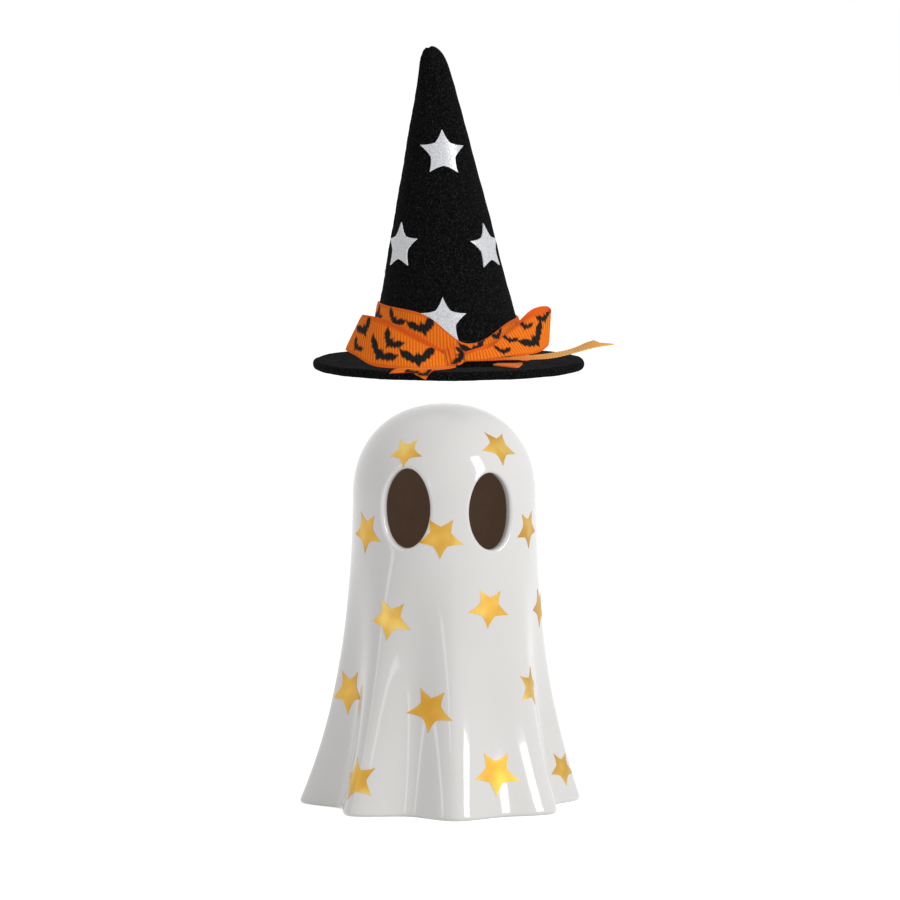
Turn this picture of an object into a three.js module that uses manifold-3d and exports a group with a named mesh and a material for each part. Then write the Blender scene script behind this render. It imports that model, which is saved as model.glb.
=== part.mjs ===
// A light-up ghost figure: a glazed ceramic ghost with open eyes, a battery light unit plugged into its
// base, and a felt witch hat with a tied ribbon that lifts off its head.
// Millimetres, +Z up. The face looks along -Y and +X is at the right of someone who looks at the face.
// The origin is on the ghost's axis, on the surface that the ghost stands on.
import * as THREE from "three";
import { mergeVertices } from "three/addons/utils/BufferGeometryUtils.js";
import Module from "manifold-3d";

const wasm = await Module();
wasm.setup();

// Ceramic ghost: its folds begin a set drop below the top of the head. A share of its flare grows almost
// evenly down from the head, and the rest curls out near the hem.
const GHOST_HEIGHT = 148;
const HEAD_RADIUS = 33.9;
const DOME_HEIGHT = 34.5;
const DOME_SQUARENESS = 2.2;
const HEM_RADIUS = 52.4;
const UPPER_FLARE_SHARE = 0.23;
const UPPER_FLARE_POWER = 1.2;
const LOWER_FLARE_POWER = 2.75;
const WALL = 3.4;
const HEM_EDGE_RADIUS = 1.8;
const FOLD_DROP = 46;
const FOLD_FADE_POWER = 1.35;
const FOLD_SHARPNESS = 0.8;

// Folds of the sheet, anticlockwise from the front: the azimuth of each ridge in degrees, how far the ridge
// stands past the mean hem in millimetres, and how deep the valley after it is at the hem, as a share of how
// far the hem stands out past the head.
const FOLDS = [
  { ridge: 2, reach: 0.2, valley: 0.29 },
  { ridge: 47, reach: 0.4, valley: 0.515 },
  { ridge: 92, reach: -1.4, valley: 0.485 },
  { ridge: 136, reach: 0, valley: 0.43 },
  { ridge: 181, reach: 0.3, valley: 0.485 },
  { ridge: 226, reach: -0.3, valley: 0.43 },
  { ridge: 271, reach: 1.7, valley: 0.515 },
  { ridge: 315, reach: 0.5, valley: 0.53 },
];

// Eyes: each is an oval cut by hand straight through the wall, so the two differ a little. Their azimuths are
// in degrees, and each centre is a set drop below the top of the head.
const EYES = [
  { azimuth: -28.8, width: 19.6, height: 29.1, drop: 35.6 },
  { azimuth: 28.1, width: 18.1, height: 28.1, drop: 36.8 },
];
const EYE_LIP = 1.4;

// Base of the ghost
const FLOOR_LIFT = 4;
const FLOOR_THICKNESS = 4;
const BASE_HOLE_RADIUS = 30;

// Light unit
const UNIT_BOTTOM = 1.2;
const FLANGE_RADIUS = 35;
const FLANGE_THICKNESS = 1.8;
const CUP_RADIUS = 29;
const CUP_WALL = 1.6;
const CUP_TOP = 21;
const LID_THICKNESS = 1.6;
const GASKET_INNER_RADIUS = 30.5;
const GASKET_OUTER_RADIUS = 34.5;
const DIFFUSER_RADIUS = 9;
const DIFFUSER_WALL = 1.2;
const DIFFUSER_FLANGE_RADIUS = 11.5;
const DIFFUSER_FLANGE_THICKNESS = 1.2;
const DIFFUSER_RISE = 13;
const FIT_GAP = 0.3;

// Button cells and their bay
const CELL_RADIUS = 5.8;
const CELL_THICKNESS = 5.4;
const CELL_COUNT = 3;
const CELL_NUB_RADIUS = 4.4;
const BAY_Y = 12.4;
const BAY_WALL = 1.4;
const BAY_LENGTH = 22;
const SPRING_LENGTH = 3.7;
const SPRING_TURNS = 3;
const SPRING_RADIUS = 3;
const SPRING_WIRE_RADIUS = 0.35;
const CONTACT_THICKNESS = 0.5;
const CONTACT_WIDTH = 5;
const CONTACT_TAB_WIDTH = 2.4;
const CONTACT_TAB_RISE = 1.6;

// Battery door
const DOOR_LENGTH = 33;
const DOOR_WIDTH = 15.4;
const DOOR_THICKNESS = 1.6;
const DOOR_SCREW_X = 14;
const DOOR_RIB_COUNT = 5;
const DOOR_RIB_PITCH = 2.2;
const DOOR_RIB_WIDTH = 0.9;
const DOOR_RIB_DEPTH = 0.5;
const DOOR_RIB_LENGTH = 9;

// Slide switch and circuit board
const SWITCH_Y = -12;
const SWITCH_TRAVEL = 2.4;
const SWITCH_SLOT_LENGTH = 10.4;
const SWITCH_SLOT_WIDTH = 4.4;
const KNOB_LENGTH = 4;
const KNOB_WIDTH = 3.6;
const KNOB_PROUD = 0.5;
const KNOB_NECK = 1.7;
const KNOB_GROOVE = { pitch: 1.1, width: 0.5, depth: 0.4 };
const SWITCH_BODY_LENGTH = 9;
const SWITCH_BODY_WIDTH = 4.8;
const SWITCH_BODY_WALL = 0.7;
const SWITCH_BODY_HEIGHT = 4.4;
const SWITCH_BODY_LIFT = 1.1;
const BOARD_THICKNESS = 1.2;
const BOARD_WIDTH = 30;
const BOARD_FRONT_Y = -20;
const BOARD_BACK_Y = 2.6;
const BOARD_SCREW_X = 11.5;
const BOARD_SCREW_Y = -17;
const LED_RADIUS = 2.5;
const LED_STAND = 4.4;
const LED_BODY_HEIGHT = 5.4;
const LEAD_WIDTH = 0.5;
const LEAD_SPACING = 2.5;
const WIRE_RADIUS = 0.65;

// Parts on the board
const CHIP = { length: 5, width: 4, height: 1.5, x: -8.5, y: -6.5 };
const RESISTOR = { length: 8.8, body: 4.8, waist: 0.9, end: 1.1, lead: 0.35, x: 8.5, y: -6 };

// Screws: the unit's lid is held from below by two, and two smaller pairs hold the board and the door
const LID_SCREW = { x: 21, y: -3, shank: 1.3, head: 2.6, headHeight: 0.8, length: 11, boss: 3 };
const BOARD_SCREW = { shank: 0.9, head: 2.2, headHeight: 1, length: 4.6, boss: 2.6 };
const DOOR_SCREW = { shank: 0.9, head: 2, headHeight: 0.7, length: 6.2 };

// Felt hat, in its own frame: z = 0 is the underside of its brim. It lies loose on the head, a little to the
// right of the head's middle, and the photo shows it held up from there.
const HAT_SHIFT = 1.6;
const HAT_LIFT = 22.8;
const BRIM_RADIUS = 50;
const FELT = 2.5;
const CROWN_BASE_RADIUS = 29;
const CROWN_TAPER = 0.217;
const CROWN_LEAN = 0.047;
const CROWN_HEIGHT = 118.5;
const CROWN_BLUNT = 15;
const CROWN_HOLLOW_TOP = 98;
const TIP_LEAN = 1.2;
const TIP_NOTCH = 1.3;

// Grosgrain ribbon
const RIBBON_WIDTH = 16;
const DRAWN_RIBBON_WIDTH = 16;
const RIBBON_THICKNESS = 0.7;
const TAIL_NOTCH = 0.18;
const BAND_TOP = 21.4;
const BAND_TILT = 2.7;
const BAND_DIP = 9.6;
const BAND_DIP_AT = 12;
const BAND_DIP_LEFT = 22;
const BAND_DIP_RIGHT = 32;

// The bow's knot: degrees round the crown from the front, how far its middle stands out from the foot of the
// crown, how far it stands off the brim, and its half sizes
const KNOT = { azimuth: 0.3, out: 3.4, lift: 1.2, halfWidth: 3.7, halfDepth: 2.6, halfHeight: 3.4 };

// How finely the round forms are cut
const GHOST_STEPS = 64;
const HAT_STEPS = 40;
const ROUND_STEPS = 36;
const SMALL_STEPS = 16;
const EYE_STEPS = 36;

// How far a cutter runs past the face that it opens, and how far joined forms run into each other
const PAST = 1;
const SUNK = 0.5;

const RADIANS = Math.PI / 180;

const finishes = {
  glaze: { color: 0xf4f3f0, roughness: 0.12, metalness: 0 },
  felt: { color: 0x0d0d0f, roughness: 0.95, metalness: 0 },
  ribbon: { color: 0xf27a1a, roughness: 0.7, metalness: 0 },
  housing: { color: 0xeeeeea, roughness: 0.45, metalness: 0 },
  frosted: { color: 0xf7efdc, roughness: 0.5, metalness: 0 },
  foam: { color: 0x2b2b2b, roughness: 0.95, metalness: 0 },
  board: { color: 0x1f6b3a, roughness: 0.5, metalness: 0 },
  chip: { color: 0x17171a, roughness: 0.5, metalness: 0 },
  epoxy: { color: 0xf6e7b0, roughness: 0.15, metalness: 0 },
  steel: { color: 0xb9bcc0, roughness: 0.3, metalness: 1 },
  resistor: { color: 0xcdb38a, roughness: 0.5, metalness: 0 },
  knob: { color: 0x1c1c1e, roughness: 0.5, metalness: 0 },
  wireRed: { color: 0xb41f1f, roughness: 0.5, metalness: 0 },
  wireBlack: { color: 0x1a1a1a, roughness: 0.5, metalness: 0 },
};

function piece(name, geometry, finish) {
  const mesh = new THREE.Mesh(geometry, new THREE.MeshStandardMaterial(finishes[finish]));
  mesh.name = name;
  return mesh;
}

// A closed mesh with shared vertices as a solid that can be cut and joined.
function solid(geometry) {
  const bare = geometry.clone();
  bare.deleteAttribute("normal");
  bare.deleteAttribute("uv");
  const merged = mergeVertices(bare, 1e-4);
  return new wasm.Manifold(
    new wasm.Mesh({
      numProp: 3,
      vertProperties: merged.attributes.position.array,
      triVerts: new Uint32Array(merged.index.array),
    }),
  );
}

function shape(manifold) {
  const made = manifold.getMesh();
  return new THREE.BufferGeometry()
    .setAttribute("position", new THREE.BufferAttribute(Float32Array.from(made.vertProperties), 3))
    .setIndex(new THREE.BufferAttribute(made.triVerts, 1));
}

function join(parts) {
  return parts.reduce((whole, part) => whole.add(part));
}

function cut(whole, holes) {
  return holes.reduce((left, hole) => left.subtract(hole), whole);
}

function indexed(points, faces) {
  return new THREE.BufferGeometry()
    .setAttribute("position", new THREE.Float32BufferAttribute(points.flat(), 3))
    .setIndex(faces.flat());
}

// A closed surface spun round +Z: pointAt(angle, row) gives each point, and the first and last rows lie on
// the axis.
function spun(pointAt, rows, steps) {
  const points = [pointAt(0, 0)];
  for (let row = 1; row < rows - 1; row++)
    for (let step = 0; step < steps; step++) points.push(pointAt((step / steps) * 2 * Math.PI, row));
  points.push(pointAt(0, rows - 1));
  const last = points.length - 1;
  const at = (row, step) => 1 + (row - 1) * steps + (step % steps);
  const faces = [];
  for (let step = 0; step < steps; step++) {
    faces.push([0, at(1, step), at(1, step + 1)]);
    for (let row = 1; row < rows - 2; row++) {
      faces.push([at(row, step), at(row + 1, step), at(row + 1, step + 1)]);
      faces.push([at(row, step), at(row + 1, step + 1), at(row, step + 1)]);
    }
    faces.push([at(rows - 2, step), last, at(rows - 2, step + 1)]);
  }
  return indexed(points, faces);
}

// A closed skin over rings of points with a flat fan at each end. The rings run towards whoever sees their
// points go round anticlockwise.
function lofted(rings) {
  const count = rings[0].length;
  const middle = (ring) => [0, 1, 2].map((k) => ring.reduce((sum, p) => sum + p[k], 0) / count);
  const points = [middle(rings[0]), ...rings.flat(), middle(rings.at(-1))];
  const last = points.length - 1;
  const at = (ring, step) => 1 + ring * count + (step % count);
  const faces = [];
  for (let step = 0; step < count; step++) {
    faces.push([0, at(0, step + 1), at(0, step)]);
    for (let ring = 0; ring < rings.length - 1; ring++) {
      faces.push([at(ring, step), at(ring, step + 1), at(ring + 1, step + 1)]);
      faces.push([at(ring, step), at(ring + 1, step + 1), at(ring + 1, step)]);
    }
    faces.push([at(rings.length - 1, step), at(rings.length - 1, step + 1), last]);
  }
  return indexed(points, faces);
}

// A turned piece from its profile of [radius, z] points, bottom to top along the outside.
function turned(profile, steps = ROUND_STEPS) {
  const points = profile.map(([radius, z]) => new THREE.Vector2(radius, z));
  return new THREE.LatheGeometry(points, steps).rotateX(Math.PI / 2);
}

function disc(radius, bottom, top, x = 0, y = 0, steps = ROUND_STEPS) {
  return turned([[0, bottom], [radius, bottom], [radius, top], [0, top]], steps).translate(x, y, 0);
}

// A slim round solid, such as a screw post or a screw hole.
function post(radius, bottom, top, x, y) {
  return solid(disc(radius, bottom, top, x, y, SMALL_STEPS));
}

// A block of a length along x and a width along y, centred on x and y.
function block(length, width, bottom, top, x = 0, y = 0) {
  return new THREE.BoxGeometry(length, width, top - bottom).translate(x, y, (bottom + top) / 2);
}

function screw({ shank, head, headHeight, length }, x, y, headZ, up = 1) {
  const profile = [
    [0, 0],
    [head * 0.8, 0],
    [head, headHeight * 0.35],
    [head, headHeight],
    [shank, headHeight],
    [shank, length - shank],
    [0, length],
  ];
  const made = turned(profile, SMALL_STEPS);
  if (up < 0) made.rotateX(Math.PI);
  return made.translate(x, y, headZ);
}

// The ghost

const DOME_BASE = GHOST_HEIGHT - DOME_HEIGHT;
const FOLD_TOP = GHOST_HEIGHT - FOLD_DROP;
const FLARE = HEM_RADIUS - HEAD_RADIUS;

// Depth of the fold and reach of the hem at an azimuth.
function foldAt(azimuth) {
  const turn = (((azimuth / RADIANS - FOLDS[0].ridge) % 360) + 360) % 360;
  const count = FOLDS.length;
  const start = (k) => (FOLDS[k % count].ridge - FOLDS[0].ridge) + (k >= count ? 360 : 0);
  let k = count - 1;
  while (k > 0 && start(k) > turn) k--;
  const share = (turn - start(k)) / (start(k + 1) - start(k));
  const here = FOLDS[k];
  const next = FOLDS[(k + 1) % count];
  const bend = (1 - Math.cos(2 * Math.PI * share)) / 2;
  const blend = (1 - Math.cos(Math.PI * share)) / 2;
  const depth = FLARE * here.valley * bend ** FOLD_SHARPNESS;
  return { depth, reach: here.reach + (next.reach - here.reach) * blend };
}

// Outer radius of the ghost below its dome.
function skirtRadius(azimuth, z) {
  const { depth, reach } = foldAt(azimuth);
  const low = Math.max(0, 1 - z / DOME_BASE);
  const curve =
    UPPER_FLARE_SHARE * low ** UPPER_FLARE_POWER + (1 - UPPER_FLARE_SHARE) * low ** LOWER_FLARE_POWER;
  const flare = (FLARE + reach) * curve;
  const fold = depth * Math.max(0, 1 - z / FOLD_TOP) ** FOLD_FADE_POWER;
  return HEAD_RADIUS + flare - fold;
}

// A dome's [radius, z] at a share of its arc, 0 at its rim and 1 at its pole.
function domePoint(share, radius, height) {
  const turn = (share * Math.PI) / 2;
  const power = 2 / DOME_SQUARENESS;
  return [radius * Math.cos(turn) ** power, DOME_BASE + height * Math.sin(turn) ** power];
}

// The height at which the dome has a radius.
function domeHeightAt(radius) {
  const share = (1 - (radius / HEAD_RADIUS) ** DOME_SQUARENESS) ** (1 / DOME_SQUARENESS);
  return DOME_BASE + DOME_HEIGHT * share;
}

// The wall's section at one azimuth, from the top of the head down the outside, under the hem, round the
// floor with its hole, and up the inside.
function ghostSection(azimuth) {
  const section = [[0, GHOST_HEIGHT]];
  const domeRows = [0.86, 0.72, 0.58, 0.45, 0.33, 0.21, 0.1, 0];
  domeRows.forEach((share) => section.push(domePoint(share, HEAD_RADIUS, DOME_HEIGHT)));
  const skirtRows = 11;
  for (let row = 1; row <= skirtRows; row++) {
    const z = DOME_BASE + (HEM_EDGE_RADIUS - DOME_BASE) * (row / skirtRows) ** 0.85;
    section.push([skirtRadius(azimuth, z), z]);
  }
  const edgeRows = 3;
  for (let row = 1; row <= edgeRows; row++) {
    const turn = (row / edgeRows) * (Math.PI / 2);
    const z = row === edgeRows ? 0 : HEM_EDGE_RADIUS * (1 - Math.sin(turn));
    section.push([skirtRadius(azimuth, z) - HEM_EDGE_RADIUS * (1 - Math.cos(turn)), z]);
  }
  const floorTop = FLOOR_LIFT + FLOOR_THICKNESS;
  section.push([skirtRadius(azimuth, 0) - WALL, 0]);
  section.push([skirtRadius(azimuth, FLOOR_LIFT) - WALL, FLOOR_LIFT]);
  section.push([BASE_HOLE_RADIUS, FLOOR_LIFT], [BASE_HOLE_RADIUS, floorTop]);
  const innerRows = 3;
  for (let row = 0; row <= innerRows; row++) {
    const z = floorTop + (DOME_BASE - floorTop) * (row / innerRows);
    section.push([skirtRadius(azimuth, z) - WALL, z]);
  }
  [0.25, 0.5, 0.75].forEach((share) =>
    section.push(domePoint(share, HEAD_RADIUS - WALL, DOME_HEIGHT - WALL)),
  );
  section.push([0, GHOST_HEIGHT - WALL]);
  return section;
}

// Azimuth 0 is the front, and it grows towards +X.
function polar(radius, azimuth, z) {
  return [radius * Math.sin(azimuth), -radius * Math.cos(azimuth), z];
}

function outerRadius(azimuth, z) {
  if (z <= DOME_BASE) return skirtRadius(azimuth, z);
  const share = Math.min(1, (z - DOME_BASE) / DOME_HEIGHT);
  return HEAD_RADIUS * (1 - share ** DOME_SQUARENESS) ** (1 / DOME_SQUARENESS);
}

// The eye's cutter follows the head at the rounded lip, and runs straight in from there.
function eyeCutter(eye) {
  const depths = [-EYE_LIP, -0.45 * EYE_LIP, 0, 1.2, 4];
  const widening = [0, 0.35 * EYE_LIP, EYE_LIP, 1.6 * EYE_LIP, 2.6 * EYE_LIP];
  const rings = depths.map((depth, k) => {
    const ring = [];
    for (let step = 0; step < EYE_STEPS; step++) {
      const turn = (step / EYE_STEPS) * 2 * Math.PI;
      const along = (eye.width / 2 + widening[k]) * Math.cos(turn);
      const z = GHOST_HEIGHT - eye.drop + (eye.height / 2 + widening[k]) * Math.sin(turn);
      const azimuth = eye.azimuth * RADIANS + along / HEAD_RADIUS;
      ring.push(polar(outerRadius(azimuth, z) + depth, azimuth, z));
    }
    return ring;
  });
  const [inX, inY] = polar(-2 * WALL, eye.azimuth * RADIANS, 0);
  rings.unshift(rings[0].map(([x, y, z]) => [x + inX, y + inY, z]));
  return lofted(rings);
}

function ghostShell() {
  const sections = [];
  for (let step = 0; step < GHOST_STEPS; step++) {
    sections.push(ghostSection((step / GHOST_STEPS) * 2 * Math.PI));
  }
  const body = spun(
    (azimuth, row) => {
      const step = Math.round((azimuth / (2 * Math.PI)) * GHOST_STEPS) % GHOST_STEPS;
      const [radius, z] = sections[step][row];
      return polar(radius, azimuth, z);
    },
    sections[0].length,
    GHOST_STEPS,
  );
  const eyes = EYES.map((eye) => solid(eyeCutter(eye)));
  return piece("ghost_shell", shape(cut(solid(body), eyes)), "glaze");
}

// The light unit

const FLANGE_TOP = UNIT_BOTTOM + FLANGE_THICKNESS;
const DOOR_TOP = UNIT_BOTTOM + DOOR_THICKNESS;
const CELL_Z = FLANGE_TOP + FIT_GAP + CELL_RADIUS;
const BAY_ROOF = CELL_Z + CELL_RADIUS + FIT_GAP;
const BOARD_BOTTOM = FLANGE_TOP + SWITCH_BODY_LIFT + SWITCH_BODY_HEIGHT;
const BOARD_TOP = BOARD_BOTTOM + BOARD_THICKNESS;
const PLATE_X = BAY_LENGTH / 2 - FIT_GAP - CONTACT_THICKNESS / 2;
const SIDES = [-1, 1];

function lightBase() {
  const cup = turned([
    [0, UNIT_BOTTOM],
    [FLANGE_RADIUS - 0.5, UNIT_BOTTOM],
    [FLANGE_RADIUS, UNIT_BOTTOM + 0.5],
    [FLANGE_RADIUS, FLANGE_TOP],
    [CUP_RADIUS, FLANGE_TOP],
    [CUP_RADIUS, CUP_TOP],
    [CUP_RADIUS - CUP_WALL, CUP_TOP],
    [CUP_RADIUS - CUP_WALL, FLANGE_TOP],
    [0, FLANGE_TOP],
  ]);
  const recessLength = DOOR_LENGTH + 2 * FIT_GAP;
  const recessWidth = DOOR_WIDTH + 2 * FIT_GAP;
  const bayLength = recessLength + 2 * BAY_WALL;
  const bayWidth = recessWidth + BAY_WALL;
  const bay = solid(
    block(bayLength, bayWidth, FLANGE_TOP - SUNK, BAY_ROOF + BAY_WALL, 0, BAY_Y),
  ).intersect(solid(disc(CUP_RADIUS - CUP_WALL / 2, 0, CUP_TOP)));
  const boardBosses = SIDES.map((side) =>
    post(BOARD_SCREW.boss, FLANGE_TOP - SUNK, BOARD_BOTTOM, side * BOARD_SCREW_X, BOARD_SCREW_Y),
  );
  const below = UNIT_BOTTOM - PAST;
  const holes = [
    block(BAY_LENGTH, 2 * (CELL_RADIUS + FIT_GAP), below, BAY_ROOF, 0, BAY_Y),
    block(recessLength, recessWidth, below, FLANGE_TOP, 0, BAY_Y),
    block(SWITCH_SLOT_LENGTH, SWITCH_SLOT_WIDTH, below, FLANGE_TOP + PAST, 0, SWITCH_Y),
  ].map(solid);
  const tabThickness = CONTACT_THICKNESS + 2 * FIT_GAP;
  const tabWidth = CONTACT_TAB_WIDTH + 2 * FIT_GAP;
  const doorDeep = UNIT_BOTTOM + DOOR_SCREW.length + PAST;
  const lidSink = UNIT_BOTTOM + LID_SCREW.headHeight + FIT_GAP;
  const boardDeep = BOARD_TOP - BOARD_SCREW.length;
  SIDES.forEach((side) => {
    const doorX = side * DOOR_SCREW_X;
    const lidX = side * LID_SCREW.x;
    const boardX = side * BOARD_SCREW_X;
    const slitTop = BAY_ROOF + BAY_WALL + PAST;
    const slit = block(tabThickness, tabWidth, BAY_ROOF - PAST, slitTop, side * PLATE_X, BAY_Y);
    holes.push(
      post(DOOR_SCREW.shank + FIT_GAP, FLANGE_TOP - PAST, doorDeep, doorX, BAY_Y),
      post(LID_SCREW.shank + FIT_GAP, below, FLANGE_TOP + PAST, lidX, LID_SCREW.y),
      post(LID_SCREW.head + FIT_GAP, below, lidSink, lidX, LID_SCREW.y),
      post(BOARD_SCREW.shank + FIT_GAP, boardDeep, BOARD_BOTTOM + PAST, boardX, BOARD_SCREW_Y),
      solid(slit),
    );
  });
  return piece("light_base", shape(cut(join([solid(cup), bay, ...boardBosses]), holes)), "housing");
}

function lightLid() {
  const lid = turned([
    [DIFFUSER_RADIUS + FIT_GAP, CUP_TOP],
    [CUP_RADIUS, CUP_TOP],
    [CUP_RADIUS, CUP_TOP + LID_THICKNESS - 0.6],
    [CUP_RADIUS - 0.6, CUP_TOP + LID_THICKNESS],
    [DIFFUSER_RADIUS + FIT_GAP, CUP_TOP + LID_THICKNESS],
    [DIFFUSER_RADIUS + FIT_GAP, CUP_TOP],
  ]);
  const pilotTop = UNIT_BOTTOM + LID_SCREW.length + PAST;
  const bosses = SIDES.map((side) =>
    post(LID_SCREW.boss, FLANGE_TOP, CUP_TOP + SUNK, side * LID_SCREW.x, LID_SCREW.y),
  );
  const pilots = SIDES.map((side) =>
    post(LID_SCREW.shank + FIT_GAP, 0, pilotTop, side * LID_SCREW.x, LID_SCREW.y),
  );
  return piece("light_lid", shape(cut(join([solid(lid), ...bosses]), pilots)), "housing");
}

function diffuser() {
  const outside = [];
  const inside = [];
  const rows = 4;
  const top = CUP_TOP + DIFFUSER_RISE;
  for (let row = 0; row <= rows; row++) {
    const turn = (row / rows) * (Math.PI / 2);
    const shoulder = top - DIFFUSER_RADIUS;
    outside.push([DIFFUSER_RADIUS * Math.cos(turn), shoulder + DIFFUSER_RADIUS * Math.sin(turn)]);
    const innerRadius = DIFFUSER_RADIUS - DIFFUSER_WALL;
    inside.push([innerRadius * Math.cos(turn), shoulder + innerRadius * Math.sin(turn)]);
  }
  outside[rows][0] = 0;
  inside[rows][0] = 0;
  const flangeBottom = CUP_TOP - DIFFUSER_FLANGE_THICKNESS;
  const profile = [
    ...inside.reverse(),
    [DIFFUSER_RADIUS - DIFFUSER_WALL, flangeBottom],
    [DIFFUSER_FLANGE_RADIUS, flangeBottom],
    [DIFFUSER_FLANGE_RADIUS, CUP_TOP],
    [DIFFUSER_RADIUS, CUP_TOP],
    ...outside,
  ];
  return piece("diffuser", turned(profile, 28), "frosted");
}

function gasket() {
  return piece(
    "foam_gasket",
    turned([
      [GASKET_INNER_RADIUS, FLANGE_TOP],
      [GASKET_OUTER_RADIUS, FLANGE_TOP],
      [GASKET_OUTER_RADIUS, FLOOR_LIFT],
      [GASKET_INNER_RADIUS, FLOOR_LIFT],
      [GASKET_INNER_RADIUS, FLANGE_TOP],
    ]),
    "foam",
  );
}

function circuitBoard() {
  const outline = new THREE.Shape();
  const half = BOARD_WIDTH / 2;
  const corner = 3;
  outline.moveTo(-half, BOARD_BACK_Y);
  outline.lineTo(-half, BOARD_FRONT_Y + corner);
  outline.lineTo(-half + corner, BOARD_FRONT_Y);
  outline.lineTo(half - corner, BOARD_FRONT_Y);
  outline.lineTo(half, BOARD_FRONT_Y + corner);
  outline.lineTo(half, BOARD_BACK_Y);
  const board = new THREE.ExtrudeGeometry(outline, { depth: BOARD_THICKNESS, bevelEnabled: false });
  board.translate(0, 0, BOARD_BOTTOM);
  const hole = BOARD_SCREW.shank + FIT_GAP;
  const holes = SIDES.map((side) =>
    post(hole, BOARD_BOTTOM - PAST, BOARD_TOP + PAST, side * BOARD_SCREW_X, BOARD_SCREW_Y),
  );
  return piece("circuit_board", shape(cut(solid(board), holes)), "board");
}

function led() {
  const base = BOARD_TOP + LED_STAND;
  const shoulder = base + LED_BODY_HEIGHT;
  const bulb = turned(
    [
      [0, base],
      [LED_RADIUS + 0.4, base],
      [LED_RADIUS + 0.4, base + 1],
      [LED_RADIUS, base + 1],
      [LED_RADIUS, shoulder],
      [LED_RADIUS * 0.87, shoulder + LED_RADIUS * 0.5],
      [LED_RADIUS * 0.5, shoulder + LED_RADIUS * 0.87],
      [0, shoulder + LED_RADIUS],
    ],
    20,
  );
  const leads = SIDES.map((side) =>
    solid(block(LEAD_WIDTH, LEAD_WIDTH, BOARD_TOP, base + SUNK, (side * LEAD_SPACING) / 2)),
  );
  return piece("led_lamp", shape(join([solid(bulb), ...leads])), "epoxy");
}

function boardParts() {
  const chip = block(CHIP.length, CHIP.width, BOARD_TOP, BOARD_TOP + CHIP.height, CHIP.x, CHIP.y);
  const { waist, end, lead } = RESISTOR;
  const half = RESISTOR.body / 2;
  const profile = [
    [lead, -RESISTOR.length / 2],
    [lead, -half - 0.4],
    [end - 0.1, -half],
    [end, 0.6 - half],
    [waist, 1 - half],
  ];
  const mirrored = profile.map(([radius, z]) => [radius, -z]).reverse();
  const whole = [[0, -RESISTOR.length / 2], ...profile, ...mirrored, [0, RESISTOR.length / 2]];
  const resistor = turned(whole, SMALL_STEPS).rotateX(Math.PI / 2);
  resistor.translate(RESISTOR.x, RESISTOR.y, BOARD_TOP + RESISTOR.end);
  const headTop = BOARD_TOP + BOARD_SCREW.headHeight;
  const screws = SIDES.map((side, k) =>
    piece(
      `board_screw_${k + 1}`,
      screw(BOARD_SCREW, side * BOARD_SCREW_X, BOARD_SCREW_Y, headTop, -1),
      "steel",
    ),
  );
  return [piece("timer_chip", chip, "chip"), piece("resistor", resistor, "resistor"), ...screws];
}

function switchBody() {
  const bottom = BOARD_BOTTOM - SWITCH_BODY_HEIGHT;
  const wall = SWITCH_BODY_WALL;
  const shell = block(SWITCH_BODY_LENGTH, SWITCH_BODY_WIDTH, bottom, BOARD_BOTTOM, 0, SWITCH_Y);
  const hollowLength = SWITCH_BODY_LENGTH - 2 * wall;
  const hollowWidth = SWITCH_BODY_WIDTH - 2 * wall;
  const hollow = block(hollowLength, hollowWidth, bottom + wall, BOARD_BOTTOM - wall, 0, SWITCH_Y);
  const slotWidth = KNOB_NECK + 2 * FIT_GAP;
  const slot = block(slotWidth + SWITCH_TRAVEL, slotWidth, bottom - PAST, bottom + wall + PAST, 0, SWITCH_Y);
  return piece("switch_frame", shape(cut(solid(shell), [solid(hollow), solid(slot)])), "steel");
}

// The knob rests at the off end of its travel.
function switchKnob() {
  const x = -SWITCH_TRAVEL / 2;
  const capBottom = UNIT_BOTTOM - KNOB_PROUD;
  const capTop = FLANGE_TOP + SWITCH_BODY_LIFT - FIT_GAP;
  const neckTop = BOARD_BOTTOM - SWITCH_BODY_WALL - FIT_GAP;
  const cap = block(KNOB_LENGTH, KNOB_WIDTH, capBottom, capTop, x, SWITCH_Y);
  const neck = block(KNOB_NECK, KNOB_NECK, capTop - SUNK, neckTop, x, SWITCH_Y);
  const { pitch, width, depth } = KNOB_GROOVE;
  const grooves = [-1, 0, 1].map((k) =>
    solid(block(width, 2 * KNOB_WIDTH, capBottom - PAST, capBottom + depth, x + k * pitch, SWITCH_Y)),
  );
  return piece("switch_knob", shape(cut(join([solid(cap), solid(neck)]), grooves)), "knob");
}

const STACK_START = -BAY_LENGTH / 2 + FIT_GAP + CONTACT_THICKNESS;

function cells() {
  const nubHeight = 0.25;
  return Array.from({ length: CELL_COUNT }, (_, k) => {
    const half = CELL_THICKNESS / 2;
    const cell = turned(
      [
        [0, -half],
        [CELL_RADIUS - 0.4, -half],
        [CELL_RADIUS, -half + 0.4],
        [CELL_RADIUS, half - 0.8],
        [CELL_RADIUS - 0.5, half - nubHeight],
        [CELL_NUB_RADIUS, half - nubHeight],
        [CELL_NUB_RADIUS, half],
        [0, half],
      ],
      28,
    );
    cell.rotateY(Math.PI / 2).translate(STACK_START + CELL_THICKNESS * (k + 0.5), BAY_Y, CELL_Z);
    return piece(`button_cell_${k + 1}`, cell, "steel");
  });
}

// A strip contact that stands against the end of the bay and comes up through its roof.
function contact(name, x) {
  const tabTop = BAY_ROOF + BAY_WALL + CONTACT_TAB_RISE;
  const plateBottom = CELL_Z - CONTACT_WIDTH / 2;
  const plate = block(CONTACT_THICKNESS, CONTACT_WIDTH, plateBottom, BAY_ROOF - FIT_GAP, x, BAY_Y);
  const tab = block(CONTACT_THICKNESS, CONTACT_TAB_WIDTH, BAY_ROOF - PAST, tabTop, x, BAY_Y);
  return piece(name, shape(solid(plate).add(solid(tab))), "steel");
}

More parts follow.
